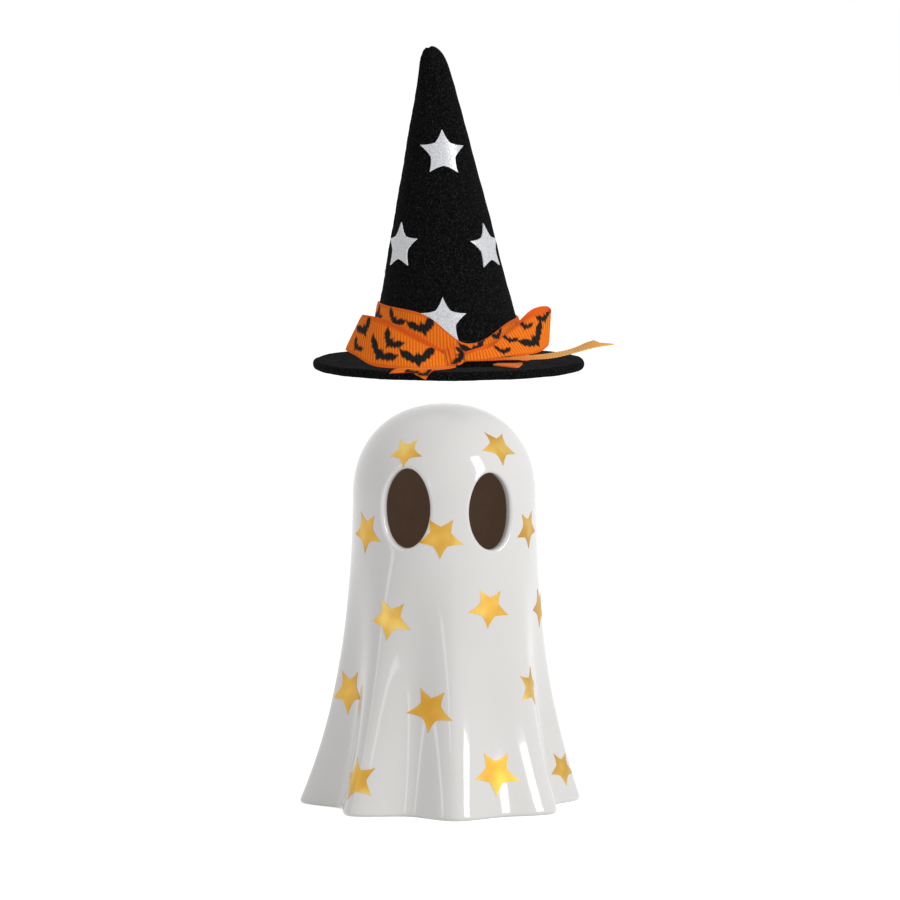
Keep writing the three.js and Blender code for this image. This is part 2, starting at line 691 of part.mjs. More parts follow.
// A round tube along points of a formula, with flat ends.
function tube(centreAt, steps, radius, sides) {
  const points = Array.from({ length: steps + 1 }, (_, k) => centreAt(k / steps));
  const curve = new THREE.CatmullRomCurve3(points);
  const section = new THREE.Shape();
  for (let k = 0; k < sides; k++) {
    const turn = (k / sides) * 2 * Math.PI;
    section[k ? "lineTo" : "moveTo"](radius * Math.cos(turn), radius * Math.sin(turn));
  }
  return new THREE.ExtrudeGeometry(section, { steps, bevelEnabled: false, extrudePath: curve });
}

function batterySpring() {
  const start = STACK_START + CELL_COUNT * CELL_THICKNESS + SPRING_WIRE_RADIUS;
  const length = SPRING_LENGTH - 2 * SPRING_WIRE_RADIUS;
  const coil = tube(
    (share) => {
      const turn = share * SPRING_TURNS * 2 * Math.PI;
      const radius = SPRING_RADIUS * (1 - 0.35 * (1 - share));
      const x = start + length * share;
      return new THREE.Vector3(x, BAY_Y + radius * Math.cos(turn), CELL_Z + radius * Math.sin(turn));
    },
    SPRING_TURNS * 10,
    SPRING_WIRE_RADIUS,
    5,
  );
  return piece("battery_spring", coil, "steel");
}

function wire(name, side, finish) {
  const tabX = side * PLATE_X;
  const roof = BAY_ROOF + BAY_WALL + WIRE_RADIUS + FIT_GAP;
  const frontOfTab = BAY_Y - CONTACT_TAB_WIDTH / 2 - FIT_GAP;
  const edge = BAY_Y - DOOR_WIDTH / 2 - FIT_GAP - BAY_WALL / 2;
  const route = new THREE.CatmullRomCurve3([
    new THREE.Vector3(tabX, frontOfTab, roof + 0.6),
    new THREE.Vector3(tabX, frontOfTab - 3, roof + 0.4),
    new THREE.Vector3(tabX + side * 0.6, edge + 1, roof + 0.2),
    new THREE.Vector3(tabX + side * 1.2, edge - 1.8, roof - 2),
    new THREE.Vector3(tabX + side * 1.2, edge - 2.4, BOARD_TOP + 3),
    new THREE.Vector3(tabX + side * 1.2, edge - 2.4, BOARD_TOP + FIT_GAP),
  ]);
  return piece(name, tube((share) => route.getPoint(share), 16, WIRE_RADIUS, 8), finish);
}

function batteryDoor() {
  const plate = block(DOOR_LENGTH, DOOR_WIDTH, UNIT_BOTTOM, DOOR_TOP, 0, BAY_Y);
  const holes = [];
  const sink = UNIT_BOTTOM + DOOR_SCREW.headHeight + FIT_GAP;
  SIDES.forEach((side) => {
    const x = side * DOOR_SCREW_X;
    holes.push(post(DOOR_SCREW.shank + FIT_GAP, 0, DOOR_TOP + PAST, x, BAY_Y));
    holes.push(post(DOOR_SCREW.head + FIT_GAP, 0, sink, x, BAY_Y));
  });
  for (let k = 0; k < DOOR_RIB_COUNT; k++) {
    const x = (k - (DOOR_RIB_COUNT - 1) / 2) * DOOR_RIB_PITCH;
    holes.push(solid(block(DOOR_RIB_WIDTH, DOOR_RIB_LENGTH, 0, UNIT_BOTTOM + DOOR_RIB_DEPTH, x, BAY_Y)));
  }
  return piece("battery_door", shape(cut(solid(plate), holes)), "housing");
}

function lightUnit() {
  const unit = new THREE.Group();
  unit.add(lightBase(), lightLid(), diffuser(), gasket(), circuitBoard(), led(), ...boardParts());
  unit.add(switchBody(), switchKnob(), ...cells(), batterySpring(), batteryDoor());
  unit.add(contact("contact_positive", -PLATE_X), contact("contact_negative", PLATE_X));
  unit.add(wire("wire_red", -1, "wireRed"), wire("wire_black", 1, "wireBlack"));
  SIDES.forEach((side, k) => {
    unit.add(
      piece(`lid_screw_${k + 1}`, screw(LID_SCREW, side * LID_SCREW.x, LID_SCREW.y, UNIT_BOTTOM), "steel"),
      piece(`door_screw_${k + 1}`, screw(DOOR_SCREW, side * DOOR_SCREW_X, BAY_Y, UNIT_BOTTOM), "steel"),
    );
  });
  return unit;
}

// The hat

const CROWN_FOOT = FELT;
const BLUNT_START = CROWN_HEIGHT - CROWN_BLUNT;
const HAT_OPENING = CROWN_BASE_RADIUS - FELT;

function crownRadius(z) {
  const straight = CROWN_BASE_RADIUS - CROWN_TAPER * (z - CROWN_FOOT);
  if (z <= BLUNT_START) return straight;
  const share = (z - BLUNT_START) / CROWN_BLUNT;
  return straight * Math.sqrt(Math.max(0, 1 - share ** 4));
}

function crownCentre(z) {
  return -CROWN_LEAN * (z - CROWN_FOOT) - TIP_LEAN * Math.max(0, (z - BLUNT_START) / CROWN_BLUNT) ** 2;
}

// The crown's blunt end is a gathered seam with a small dip across it.
function hatCrown() {
  const outer = [0.995, 0.97, 0.91, 0.8, 0.6, 0.35, 0].map((share) => BLUNT_START + share * CROWN_BLUNT);
  const straightRows = 3;
  for (let row = 1; row <= straightRows; row++) {
    outer.push(BLUNT_START + (CROWN_FOOT - BLUNT_START) * (row / straightRows));
  }
  const inner = [0, 0.5, 1].map((share) => CROWN_FOOT + (CROWN_HOLLOW_TOP - CROWN_FOOT) * share);
  const rows = outer.length + inner.length + 2;
  const geometry = spun(
    (azimuth, row) => {
      if (row === 0) return [crownCentre(CROWN_HEIGHT), 0, CROWN_HEIGHT - TIP_NOTCH];
      if (row === rows - 1) return [crownCentre(CROWN_HOLLOW_TOP), 0, CROWN_HOLLOW_TOP + 2];
      const outside = row <= outer.length;
      const z = outside ? outer[row - 1] : inner[row - 1 - outer.length];
      const radius = outside ? crownRadius(z) : crownRadius(z) - FELT;
      const [x, y] = polar(radius, azimuth, 0);
      const dip = row === 1 ? TIP_NOTCH * Math.cos(azimuth) ** 2 : 0;
      return [crownCentre(z) + x, y, z - dip];
    },
    rows,
    HAT_STEPS,
  );
  return piece("hat_crown", geometry, "felt");
}

function hatBrim() {
  const profile = [[HAT_OPENING, 0]];
  const edgeRows = 4;
  for (let row = 0; row <= edgeRows; row++) {
    const turn = (row / edgeRows - 0.5) * Math.PI;
    profile.push([BRIM_RADIUS - (FELT / 2) * (1 - Math.cos(turn)), (FELT / 2) * (1 + Math.sin(turn))]);
  }
  profile.push([HAT_OPENING, FELT], [HAT_OPENING, 0]);
  return piece("hat_brim", turned(profile, HAT_STEPS), "felt");
}

// Height of the band's top edge round the crown: it leans to the right and dips into the knot at the front.
function bandTop(azimuth) {
  const degrees = Math.atan2(Math.sin(azimuth), Math.cos(azimuth)) / RADIANS - BAND_DIP_AT;
  const spread = degrees < 0 ? BAND_DIP_LEFT : BAND_DIP_RIGHT;
  return BAND_TOP - BAND_TILT * Math.sin(azimuth) - BAND_DIP * Math.exp(-((degrees / spread) ** 2));
}

function hatBand() {
  const low = FELT + FIT_GAP;
  const rings = [];
  for (let step = 0; step < HAT_STEPS; step++) {
    const azimuth = (step / HAT_STEPS) * 2 * Math.PI;
    const top = bandTop(azimuth);
    const bottom = Math.max(low, top - RIBBON_WIDTH);
    const middle = (top + bottom) / 2;
    const at = (z, out) => {
      const [x, y] = polar(crownRadius(z) + out, azimuth, 0);
      return [crownCentre(z) + x, y, z];
    };
    const near = FIT_GAP;
    const far = FIT_GAP + RIBBON_THICKNESS;
    const outside = [at(bottom, far), at(middle, far), at(top, far)];
    rings.push([at(bottom, near), ...outside, at(top, near), at(middle, near)]);
  }
  const count = rings[0].length;
  const faces = [];
  rings.forEach((_, ring) => {
    const next = (ring + 1) % rings.length;
    for (let k = 0; k < count; k++) {
      const a = ring * count + k;
      const b = ring * count + ((k + 1) % count);
      const c = next * count + ((k + 1) % count);
      const d = next * count + k;
      faces.push([a, c, b], [a, d, c]);
    }
  });
  return piece("hat_band", indexed(rings.flat(), faces), "ribbon");
}

// A strip of ribbon between its two edges, each a smooth curve through hand-placed points that place() turns
// into points of the hat. A notch gives its free end the swallowtail cut, as a share of the strip's length.
function ribbonStrip(name, edges, place, steps, notch = 0) {
  const curves = edges.map(
    (points) => new THREE.CatmullRomCurve3(points.map((point) => new THREE.Vector3(...point))),
  );
  const pointAt = (share, across) => {
    const pulled = share * (1 - notch * (1 - Math.abs(2 * across - 1)));
    const between = curves[0].getPoint(pulled).lerp(curves[1].getPoint(pulled), across);
    return new THREE.Vector3(...place(between.x, between.y, between.z));
  };
  const rings = [];
  for (let step = 0; step <= steps; step++) {
    const share = step / steps;
    const ahead = pointAt(Math.min(1, share + 0.02), 0.5);
    const along = ahead.sub(pointAt(Math.max(0, share - 0.02), 0.5)).normalize();
    const across = pointAt(share, 1).sub(pointAt(share, 0)).normalize();
    const out = new THREE.Vector3().crossVectors(across, along).setLength(RIBBON_THICKNESS / 2);
    const front = [0, 0.5, 1].map((v) => pointAt(share, v).add(out).toArray());
    const back = [1, 0.5, 0].map((v) => pointAt(share, v).sub(out).toArray());
    rings.push([...front, ...back]);
  }
  return piece(name, lofted(rings), "ribbon");
}

const BOW_SCALE = RIBBON_WIDTH / DRAWN_RIBBON_WIDTH;
const KNOT_CENTRE_RADIUS = CROWN_BASE_RADIUS + KNOT.out;
const KNOT_EDGE = Math.asin((KNOT.halfWidth + FIT_GAP) / KNOT_CENTRE_RADIUS) / RADIANS;

// The knot is a tight wrap of ribbon with soft corners.
function bowKnot() {
  const rows = 9;
  const round = (value, power) => Math.sign(value) * Math.abs(value) ** power;
  const geometry = spun(
    (azimuth, row) => {
      const climb = (0.5 - row / (rows - 1)) * Math.PI;
      const girth = round(Math.cos(climb), 0.6);
      return [
        KNOT.halfWidth * girth * round(Math.sin(azimuth), 0.7),
        KNOT.halfDepth * girth * round(-Math.cos(azimuth), 0.7),
        KNOT.halfHeight * round(Math.sin(climb), 0.7),
      ];
    },
    rows,
    20,
  );
  geometry.translate(0, -KNOT_CENTRE_RADIUS, FELT + KNOT.lift + KNOT.halfHeight);
  return piece("bow_knot", geometry.rotateZ(KNOT.azimuth * RADIANS), "ribbon");
}

// A point of the bow: degrees round the crown from that side of the knot, millimetres out from the foot of
// the crown, and millimetres above the brim. The millimetres are for a ribbon of the drawn width.
function bowPoint(side, turn, out, rise) {
  const azimuth = KNOT.azimuth + side * (KNOT_EDGE + turn);
  return polar(CROWN_BASE_RADIUS + out * BOW_SCALE, azimuth * RADIANS, FELT + rise * BOW_SCALE);
}

function bowLoops() {
  const left = [
    [[0, 5.2, 1.5], [13.5, 8, 1], [28, 11.8, 0.4], [44, 12.1, 1.3], [57.5, 12, 5], [61.7, 9.7, 6.1],
      [52.4, 5.4, 4.8], [24.1, 2.9, 2.3], [0, 2.4, 2]],
    [[0, 4.4, 6.3], [13.4, 5.7, 10.9], [29.7, 5.9, 15.5], [43.6, 6, 18.6], [54.1, 6, 18.6], [57.6, 3.7, 19.2],
      [47.9, 1.3, 18.8], [20.1, 1.2, 13.5], [0, 2.2, 7.1]],
  ];
  const right = [
    [[0, 5, 4.4], [17, 6.4, 4.7], [37.7, 7.9, 5.1], [53.5, 9.1, 5.3], [60.2, 9.7, 6], [61.9, 7.3, 6.3],
      [45.1, 3.8, 5.3], [16.6, 2.6, 5], [0, 2.9, 5.4]],
    [[0, 4.8, 8.8], [12.2, 5.3, 11.7], [32.2, 6.2, 17.3], [50.2, 7.9, 21.3], [62.1, 10.6, 20.9],
      [63.8, 8.3, 21.5], [46, 3.5, 19.5], [16.8, 1.6, 13.9], [0, 2.7, 9.8]],
  ];
  return [
    ribbonStrip("bow_loop_left", left, (...point) => bowPoint(-1, ...point), 32),
    ribbonStrip("bow_loop_right", right, (...point) => bowPoint(1, ...point), 32),
  ];
}

// A point of ribbon laid flat on the brim, lifted off it by rise. What passes the brim's edge wraps round it
// and hangs.
function onBrim(side, turn, out, rise) {
  const bend = FELT / 2 + FIT_GAP + RIBBON_THICKNESS / 2 + rise;
  const edge = BRIM_RADIUS - FELT / 2;
  const flat = CROWN_BASE_RADIUS + out * BOW_SCALE;
  const past = Math.max(0, flat - edge);
  const wrap = Math.min(past / bend, Math.PI / 2);
  const radius = Math.min(flat, edge) + bend * Math.sin(wrap);
  const azimuth = KNOT.azimuth + side * (KNOT_EDGE + turn);
  return polar(radius, azimuth * RADIANS, FELT / 2 + bend * Math.cos(wrap) - (past - bend * wrap));
}

function bowTails() {
  const left = [
    [[-3, 5.2, 0], [6, 11, 0], [13, 16, 0.1], [18.7, 20, 0.3], [21.2, 22.3, 0.4]],
    [[-8, 6.2, 0], [-4, 12.5, 0], [0.5, 17.5, 0.1], [3.9, 21.2, 0.3], [5.6, 23.4, 0.4]],
  ];
  const right = [
    [[0, 4.9, 3.2], [16, 8.9, 3.2], [36, 14.1, 3.3], [53, 20.3, 4.2], [62.5, 27.3, 6.4], [67.9, 33.3, 6.9]],
    [[0, 2.7, 2.6], [15.3, 3.4, 2.2], [41.3, 4.9, 2.8], [65.5, 11.2, 4], [76.2, 18.5, 5.5], [82.8, 25.1, 7.3]],
  ];
  return [
    ribbonStrip("bow_tail_left", left, (...point) => onBrim(-1, ...point), 18, TAIL_NOTCH),
    ribbonStrip("bow_tail_right", right, (...point) => bowPoint(1, ...point), 20, TAIL_NOTCH),
  ];
}

function hat() {
  const group = new THREE.Group();
  group.add(hatCrown(), hatBrim(), hatBand(), bowKnot(), ...bowLoops(), ...bowTails());
  group.position.set(HAT_SHIFT, 0, domeHeightAt(HAT_OPENING - HAT_SHIFT) + FIT_GAP + HAT_LIFT);
  return group;
}

const figure = new THREE.Group();
figure.add(ghostShell(), lightUnit(), hat());

export default figure;
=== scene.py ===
import math
import random

import bmesh
import bpy
import numpy as np
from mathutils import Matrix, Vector

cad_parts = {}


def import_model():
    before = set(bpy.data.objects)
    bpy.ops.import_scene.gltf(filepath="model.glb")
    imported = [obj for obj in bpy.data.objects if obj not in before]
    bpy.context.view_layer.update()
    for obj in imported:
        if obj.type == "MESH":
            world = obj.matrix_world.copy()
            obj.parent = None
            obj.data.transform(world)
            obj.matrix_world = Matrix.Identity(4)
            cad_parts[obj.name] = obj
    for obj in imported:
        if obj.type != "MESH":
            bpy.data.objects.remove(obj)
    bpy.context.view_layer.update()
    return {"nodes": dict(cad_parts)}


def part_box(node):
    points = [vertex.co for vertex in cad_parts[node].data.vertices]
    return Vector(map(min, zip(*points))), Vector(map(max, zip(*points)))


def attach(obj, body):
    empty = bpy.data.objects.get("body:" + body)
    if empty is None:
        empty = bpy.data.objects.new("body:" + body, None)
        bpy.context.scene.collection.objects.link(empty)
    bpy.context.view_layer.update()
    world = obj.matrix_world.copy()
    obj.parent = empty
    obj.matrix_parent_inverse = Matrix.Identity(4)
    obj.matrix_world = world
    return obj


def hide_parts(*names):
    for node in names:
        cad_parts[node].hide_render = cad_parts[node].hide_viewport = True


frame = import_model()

# Lengths below are in millimetres in the frame's axes, and meshes are made in metres.
MM = 0.001

# Ceramic ghost, the same form as its solid
GHOST_HEIGHT = 148
HEAD_RADIUS = 33.9
DOME_HEIGHT = 34.5
DOME_SQUARENESS = 2.2
HEM_RADIUS = 52.4
UPPER_FLARE_SHARE = 0.23
UPPER_FLARE_POWER = 1.2
LOWER_FLARE_POWER = 2.75
WALL = 3.4
HEM_EDGE_RADIUS = 1.8
FOLD_DROP = 46
FOLD_FADE_POWER = 1.35
FOLD_SHARPNESS = 0.8
# Each fold: the azimuth of its ridge, how far the ridge stands past the hem, and the depth of the valley
# after it as a share of the flare
FOLDS = [
    (2, 0.2, 0.29), (47, 0.4, 0.515), (92, -1.4, 0.485), (136, 0, 0.43),
    (181, 0.3, 0.485), (226, -0.3, 0.43), (271, 1.7, 0.515), (315, 0.5, 0.53),
]
# Each eye: azimuth, width, height and how far its centre lies below the top of the head
EYES = [(-28.8, 19.6, 29.1, 35.6), (28.1, 18.1, 28.1, 36.8)]
EYE_LIP = 1.4
FLOOR_LIFT = 4
FLOOR_THICKNESS = 4
BASE_HOLE_RADIUS = 30
FIT_GAP = 0.3

DOME_BASE = GHOST_HEIGHT - DOME_HEIGHT
FOLD_TOP = GHOST_HEIGHT - FOLD_DROP
FLARE = HEM_RADIUS - HEAD_RADIUS

# Felt hat and its ribbon, the same form as their solids. Heights here are above the underside of the brim.
BRIM_RADIUS = 50
FELT = 2.5
CROWN_BASE_RADIUS = 29
CROWN_TAPER = 0.217
CROWN_LEAN = 0.047
CROWN_HEIGHT = 118.5
CROWN_BLUNT = 15
CROWN_HOLLOW_TOP = 98
TIP_LEAN = 1.2
TIP_NOTCH = 1.0
TIP_NOTCH_AT = -0.9
TIP_NOTCH_SPREAD = 0.7
TIP_SLOPE = 0.22
TIP_BLUNTNESS = 6
RIBBON_WIDTH = 16
RIBBON_THICKNESS = 0.5
TAIL_NOTCH = 0.18
FAR_TAIL_NOTCH = 0.05
BAND_TOP = 21.4
BAND_TILT = 2.7
BAND_DIP = 9.6
BAND_DIP_AT = 12
BAND_DIP_LEFT = 22
BAND_DIP_RIGHT = 32
KNOT_AZIMUTH = 0.3
KNOT_OUT = 3.4
KNOT_LIFT = 1.2
KNOT_HALF = (3.7, 2.6, 3.4)
BLUNT_START = CROWN_HEIGHT - CROWN_BLUNT
KNOT_CENTRE_RADIUS = CROWN_BASE_RADIUS + KNOT_OUT
KNOT_EDGE = math.degrees(math.asin((KNOT_HALF[0] + FIT_GAP) / KNOT_CENTRE_RADIUS))
HAT_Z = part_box("hat_brim")[0].z / MM
HAT_X = sum(corner.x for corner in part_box("hat_brim")) / 2 / MM

# Grosgrain
RIB_PITCH = 1.2
RIB_HEIGHT = 0.16
SAMPLES_PER_RIB = 4
ROWS_ACROSS = 32
SELVEDGE = 0.06
ACROSS = np.linspace(0, 1, ROWS_ACROSS + 1)

# The photograph's frame, and where the camera stands
IMAGE_SIZE = 900
SENSOR = 36
LENS = 345.6
CAMERA_AZIMUTH = -3
CAMERA_DISTANCE = 3.17
CAMERA_HEIGHT = 0.467
CAMERA_REACH = 30
CAMERA_AIM = Vector((0.00203, 0, 0.13085))
# Where along a line of sight the object is looked for, in metres from the camera's distance
SIGHT_RANGE = (-0.1, 0.2)
SIGHT_STEPS = 1500


def new_object(name, data):
    made = bpy.data.objects.new(name, data)
    bpy.context.scene.collection.objects.link(made)
    return made


def aim(made, place, target):
    made.location = place
    made.rotation_euler = (target - place).to_track_quat("-Z", "Y").to_euler()


def camera():
    turn = math.radians(CAMERA_AZIMUTH)
    place = Vector((math.sin(turn), -math.cos(turn), 0)) * CAMERA_DISTANCE
    place.z = CAMERA_HEIGHT
    data = bpy.data.cameras.new("camera")
    data.lens = LENS
    data.sensor_width = SENSOR
    data.clip_end = CAMERA_REACH
    made = new_object("camera", data)
    aim(made, place, CAMERA_AIM)
    bpy.context.scene.camera = made
    bpy.context.view_layer.update()
    return made


def first_hit(eye, pixel, gap):
    """The first point, in mm, where the line of sight through a pixel of the photograph meets a surface.
    gap() gives how far points lie outside the surface."""
    scale = SENSOR / IMAGE_SIZE
    half = IMAGE_SIZE / 2
    local = Vector(((pixel[0] - half) * scale, (half - pixel[1]) * scale, -LENS))
    direction = (eye.matrix_world.to_3x3() @ local).normalized()
    near, far = (CAMERA_DISTANCE + reach for reach in SIGHT_RANGE)
    for _ in range(2):
        reach = np.linspace(near, far, SIGHT_STEPS)
        points = (np.array(eye.matrix_world.translation) + reach[:, None] * np.array(direction)) / MM
        inside = np.nonzero(gap(points) < 0)[0]
        far = reach[inside[0]]
        near = reach[max(0, inside[0] - 1)]
    return points[inside[0]]


def to_pixels(eye, points):
    """The pixels of the photograph where points in mm are seen, and how far from the camera they lie."""
    turn = np.array(eye.matrix_world.inverted())
    local = points * MM @ turn[:3, :3].T + turn[:3, 3]
    scale = IMAGE_SIZE * LENS / SENSOR
    x = IMAGE_SIZE / 2 - local[..., 0] / local[..., 2] * scale
    y = IMAGE_SIZE / 2 + local[..., 1] / local[..., 2] * scale
    return np.stack([x, y], axis=-1), -local[..., 2] / MM


# Mesh helpers

def polar(radius, azimuth, z):
    """A point from its radius, its azimuth in degrees (0 at the front, growing towards +X) and its height."""
    turn = np.radians(azimuth)
    return np.stack(np.broadcast_arrays(radius * np.sin(turn), -radius * np.cos(turn), z), axis=-1)


def full_turn(count):
    """Azimuths evenly round the object."""
    return np.arange(count) * 360 / count


def azimuth_of(points):
    return np.degrees(np.arctan2(points[..., 0], -points[..., 1]))


def from_front(azimuth):
    """An azimuth as degrees from the front, -180 to 180."""
    return (np.asarray(azimuth, float) + 180) % 360 - 180


SHARP_ANGLE = 50


class Shell:
    """Collects the rings of points of a closed mesh, and the faces between them."""

    def __init__(self):
        self.points = []
        self.faces = []
        self.inside = []
        self.count = 0

    def add(self, ring):
        start = self.count
        self.points.append(ring)
        self.count += len(ring)
        return range(start, self.count)

    def face(self, corners, inside=False):
        self.faces.append(corners)
        self.inside.append(inside)

    def band(self, lower, upper, inside=False, skip=()):
        """Faces between two rings, except at the columns to skip."""
        for k in range(len(lower)):
            if k not in skip:
                after = (k + 1) % len(lower)
                self.face((lower[k], lower[after], upper[after], upper[k]), inside)

    def extend(self, last, ring, inside=False):
        """Adds a ring, joins it to the last one and returns it."""
        added = self.add(ring)
        self.band(last, added, inside)
        return added

    def stack(self, rings):
        """Adds rings, and joins each to the one before it."""
        added = [self.add(ring) for ring in rings]
        for lower, upper in zip(added, added[1:]):
            self.band(lower, upper)
        return added

    def fan(self, ring, tip, inside=False):
        """Closes a ring with one more point."""
        tip = self.add([tip])[0]
        for k in range(len(ring)):
            self.face((ring[k], ring[(k + 1) % len(ring)], tip), inside)

    def build(self, name, smooth=True, sharp_angle=SHARP_ANGLE):
        """The object, whose edges are sharp where its faces turn by more than an angle in degrees."""
        mesh = bpy.data.meshes.new(name)
        mesh.from_pydata((np.concatenate(self.points) * MM).tolist(), [], self.faces)
        work = bmesh.new()
        work.from_mesh(mesh)
        bmesh.ops.recalc_face_normals(work, faces=work.faces)
        work.to_mesh(mesh)
        work.free()
        mesh.polygons.foreach_set("use_smooth", [smooth] * len(mesh.polygons))
        if sharp_angle:
            mesh.set_sharp_from_angle(angle=math.radians(sharp_angle))
        return new_object(name, mesh)


# The ghost's surface

def fold_at(azimuth):
    ridges = np.array([ridge - FOLDS[0][0] for ridge, _, _ in FOLDS] + [360])
    reaches = np.array([reach for _, reach, _ in FOLDS] + [FOLDS[0][1]])
    valleys = np.array([valley for _, _, valley in FOLDS])
    turn = (azimuth - FOLDS[0][0]) % 360
    k = np.clip(np.searchsorted(ridges, turn, side="right") - 1, 0, len(FOLDS) - 1)
    share = (turn - ridges[k]) / (ridges[k + 1] - ridges[k])
    bend = (1 - np.cos(2 * np.pi * share)) / 2
    blend = (1 - np.cos(np.pi * share)) / 2
    depth = FLARE * valleys[k] * bend ** FOLD_SHARPNESS
    return depth, reaches[k] + (reaches[k + 1] - reaches[k]) * blend


def cast_wobble(azimuth, z):
    """The faint waviness of a cast and glazed wall, in mm."""
    turn = np.radians(azimuth)
    slow = np.sin(3 * turn + z / 19) * np.cos(z / 27 + 1.3)
    quick = np.sin(7 * turn - z / 9 + 0.7) * np.sin(z / 13)
    return 0.1 * slow + 0.05 * quick


def skirt_radius(azimuth, z):
    depth, reach = fold_at(azimuth)
    low = np.maximum(0, 1 - z / DOME_BASE)
    curve = UPPER_FLARE_SHARE * low ** UPPER_FLARE_POWER + (1 - UPPER_FLARE_SHARE) * low ** LOWER_FLARE_POWER
    flare = (FLARE + reach) * curve
    fold = depth * np.maximum(0, 1 - z / FOLD_TOP) ** FOLD_FADE_POWER
    return HEAD_RADIUS + flare - fold


def wall_radius(azimuth, z, depth):
    azimuth, z = np.broadcast_arrays(np.asarray(azimuth, float), np.asarray(z, float))
    share = np.clip((z - DOME_BASE) / (DOME_HEIGHT - depth), 0, 1)
    dome = (HEAD_RADIUS - depth) * (1 - share ** DOME_SQUARENESS) ** (1 / DOME_SQUARENESS)
    return np.where(z <= DOME_BASE, skirt_radius(azimuth, z) - depth, dome)


def outer_radius(azimuth, z):
    return wall_radius(azimuth, z, 0) + cast_wobble(azimuth, z)


def inner_radius(azimuth, z):
    return wall_radius(azimuth, z, WALL)


def from_eye(azimuth, z, eye_hole):
    """How far along the wall and up from an eye's middle points lie, in mm."""
    middle, _, _, drop = eye_hole
    return np.radians(from_front(azimuth) - middle) * HEAD_RADIUS, z - (GHOST_HEIGHT - drop)


TINY = 1e-6
DEEPEST_IN_EYE = -2
PAST_EYE_STEPS = 4


def past_eye(azimuth, z):
    """How far outside the nearer eye's oval a point of the wall lies, in mm."""
    gaps = []
    for eye_hole in EYES:
        along, up = from_eye(azimuth, z, eye_hole)
        _, width, height, _ = eye_hole
        past = np.zeros(np.broadcast(along, up).shape)
        for _ in range(PAST_EYE_STEPS):
            size = np.hypot(along / (width / 2 + past), up / (height / 2 + past))
            step = (size - 1) * np.hypot(along, up) / np.maximum(size, TINY)
            past = np.maximum(past + step, DEEPEST_IN_EYE)
        gaps.append(past)
    return np.minimum(*gaps)


def out_of_eyes(azimuth, z):
    """Moves points that fall in an eye's hole out to its edge."""
    for eye_hole in EYES:
        along, up = from_eye(azimuth, z, eye_hole)
        middle, width, height, drop = eye_hole
        size = np.maximum(np.hypot(along / (width / 2), up / (height / 2)), TINY)
        grow = np.where(size < 1, 1 / size, 1)
        azimuth = middle + np.degrees(along * grow / HEAD_RADIUS)
        z = GHOST_HEIGHT - drop + up * grow
    return azimuth, z


def lip_depth(azimuth, z):
    """How far the rounded lip of an eye falls away from the wall."""
    near = np.clip(1 - past_eye(azimuth, z) / EYE_LIP, 0, 1)
    return EYE_LIP * (1 - np.sqrt(1 - near ** 2))


def shell_point(azimuth, z, height):
    return polar(outer_radius(azimuth, z) - lip_depth(azimuth, z) + height, azimuth, z)


# The ghost's mesh. An eye's hole stands in a window of whole columns and rows.
COLUMNS = 288
COLUMN_STEP = 360 / COLUMNS
SKIRT_ROWS = 84
DOME_ROWS = 40
HEM_ROWS = 6
CEILING_SHARES = (0.3, 0.55, 0.75, 0.9, 0.97)
# The inner wall's rows start at least this far above the floor
ABOVE_FLOOR = 1
WINDOW_HALF_COLUMNS = 21
WINDOW_HEIGHTS = (88, 134)
EYE_RINGS = 8
LIP_RINGS = 6
RUN_STEPS = 12
# Where the hole's glazed wall ends before the inner face, and the rings from there to the window's edge
BEFORE_INNER_WALL = 0.5
INNER_SHARES = (0.02, 0.35, 0.7)


def window_columns(eye_hole):
    middle = round(eye_hole[0] / COLUMN_STEP)
    return [(middle + k) % COLUMNS for k in range(-WINDOW_HALF_COLUMNS, WINDOW_HALF_COLUMNS)]


def window_loop(eye_hole, low, high):
    """The window's edge as (column, row) pairs, once round."""
    columns = window_columns(eye_hole)
    right = (columns[-1] + 1) % COLUMNS
    loop = [(column, low) for column in columns]
    loop += [(right, row) for row in range(low, high)]
    loop += [((column + 1) % COLUMNS, high) for column in reversed(columns)]
    loop += [(columns[0], row) for row in range(high, low, -1)]
    return loop


def eye_ellipse(eye_hole, azimuths, heights, grow):
    """Azimuths and heights of an eye's oval, one point for each point of its window's edge."""
    middle, width, height, drop = eye_hole
    along, up = from_eye(azimuths, heights, eye_hole)
    turn = np.arctan2(up / height, along / width)
    oval = middle + np.degrees((width / 2 + grow) * np.cos(turn) / HEAD_RADIUS)
    return oval, GHOST_HEIGHT - drop + (height / 2 + grow) * np.sin(turn)


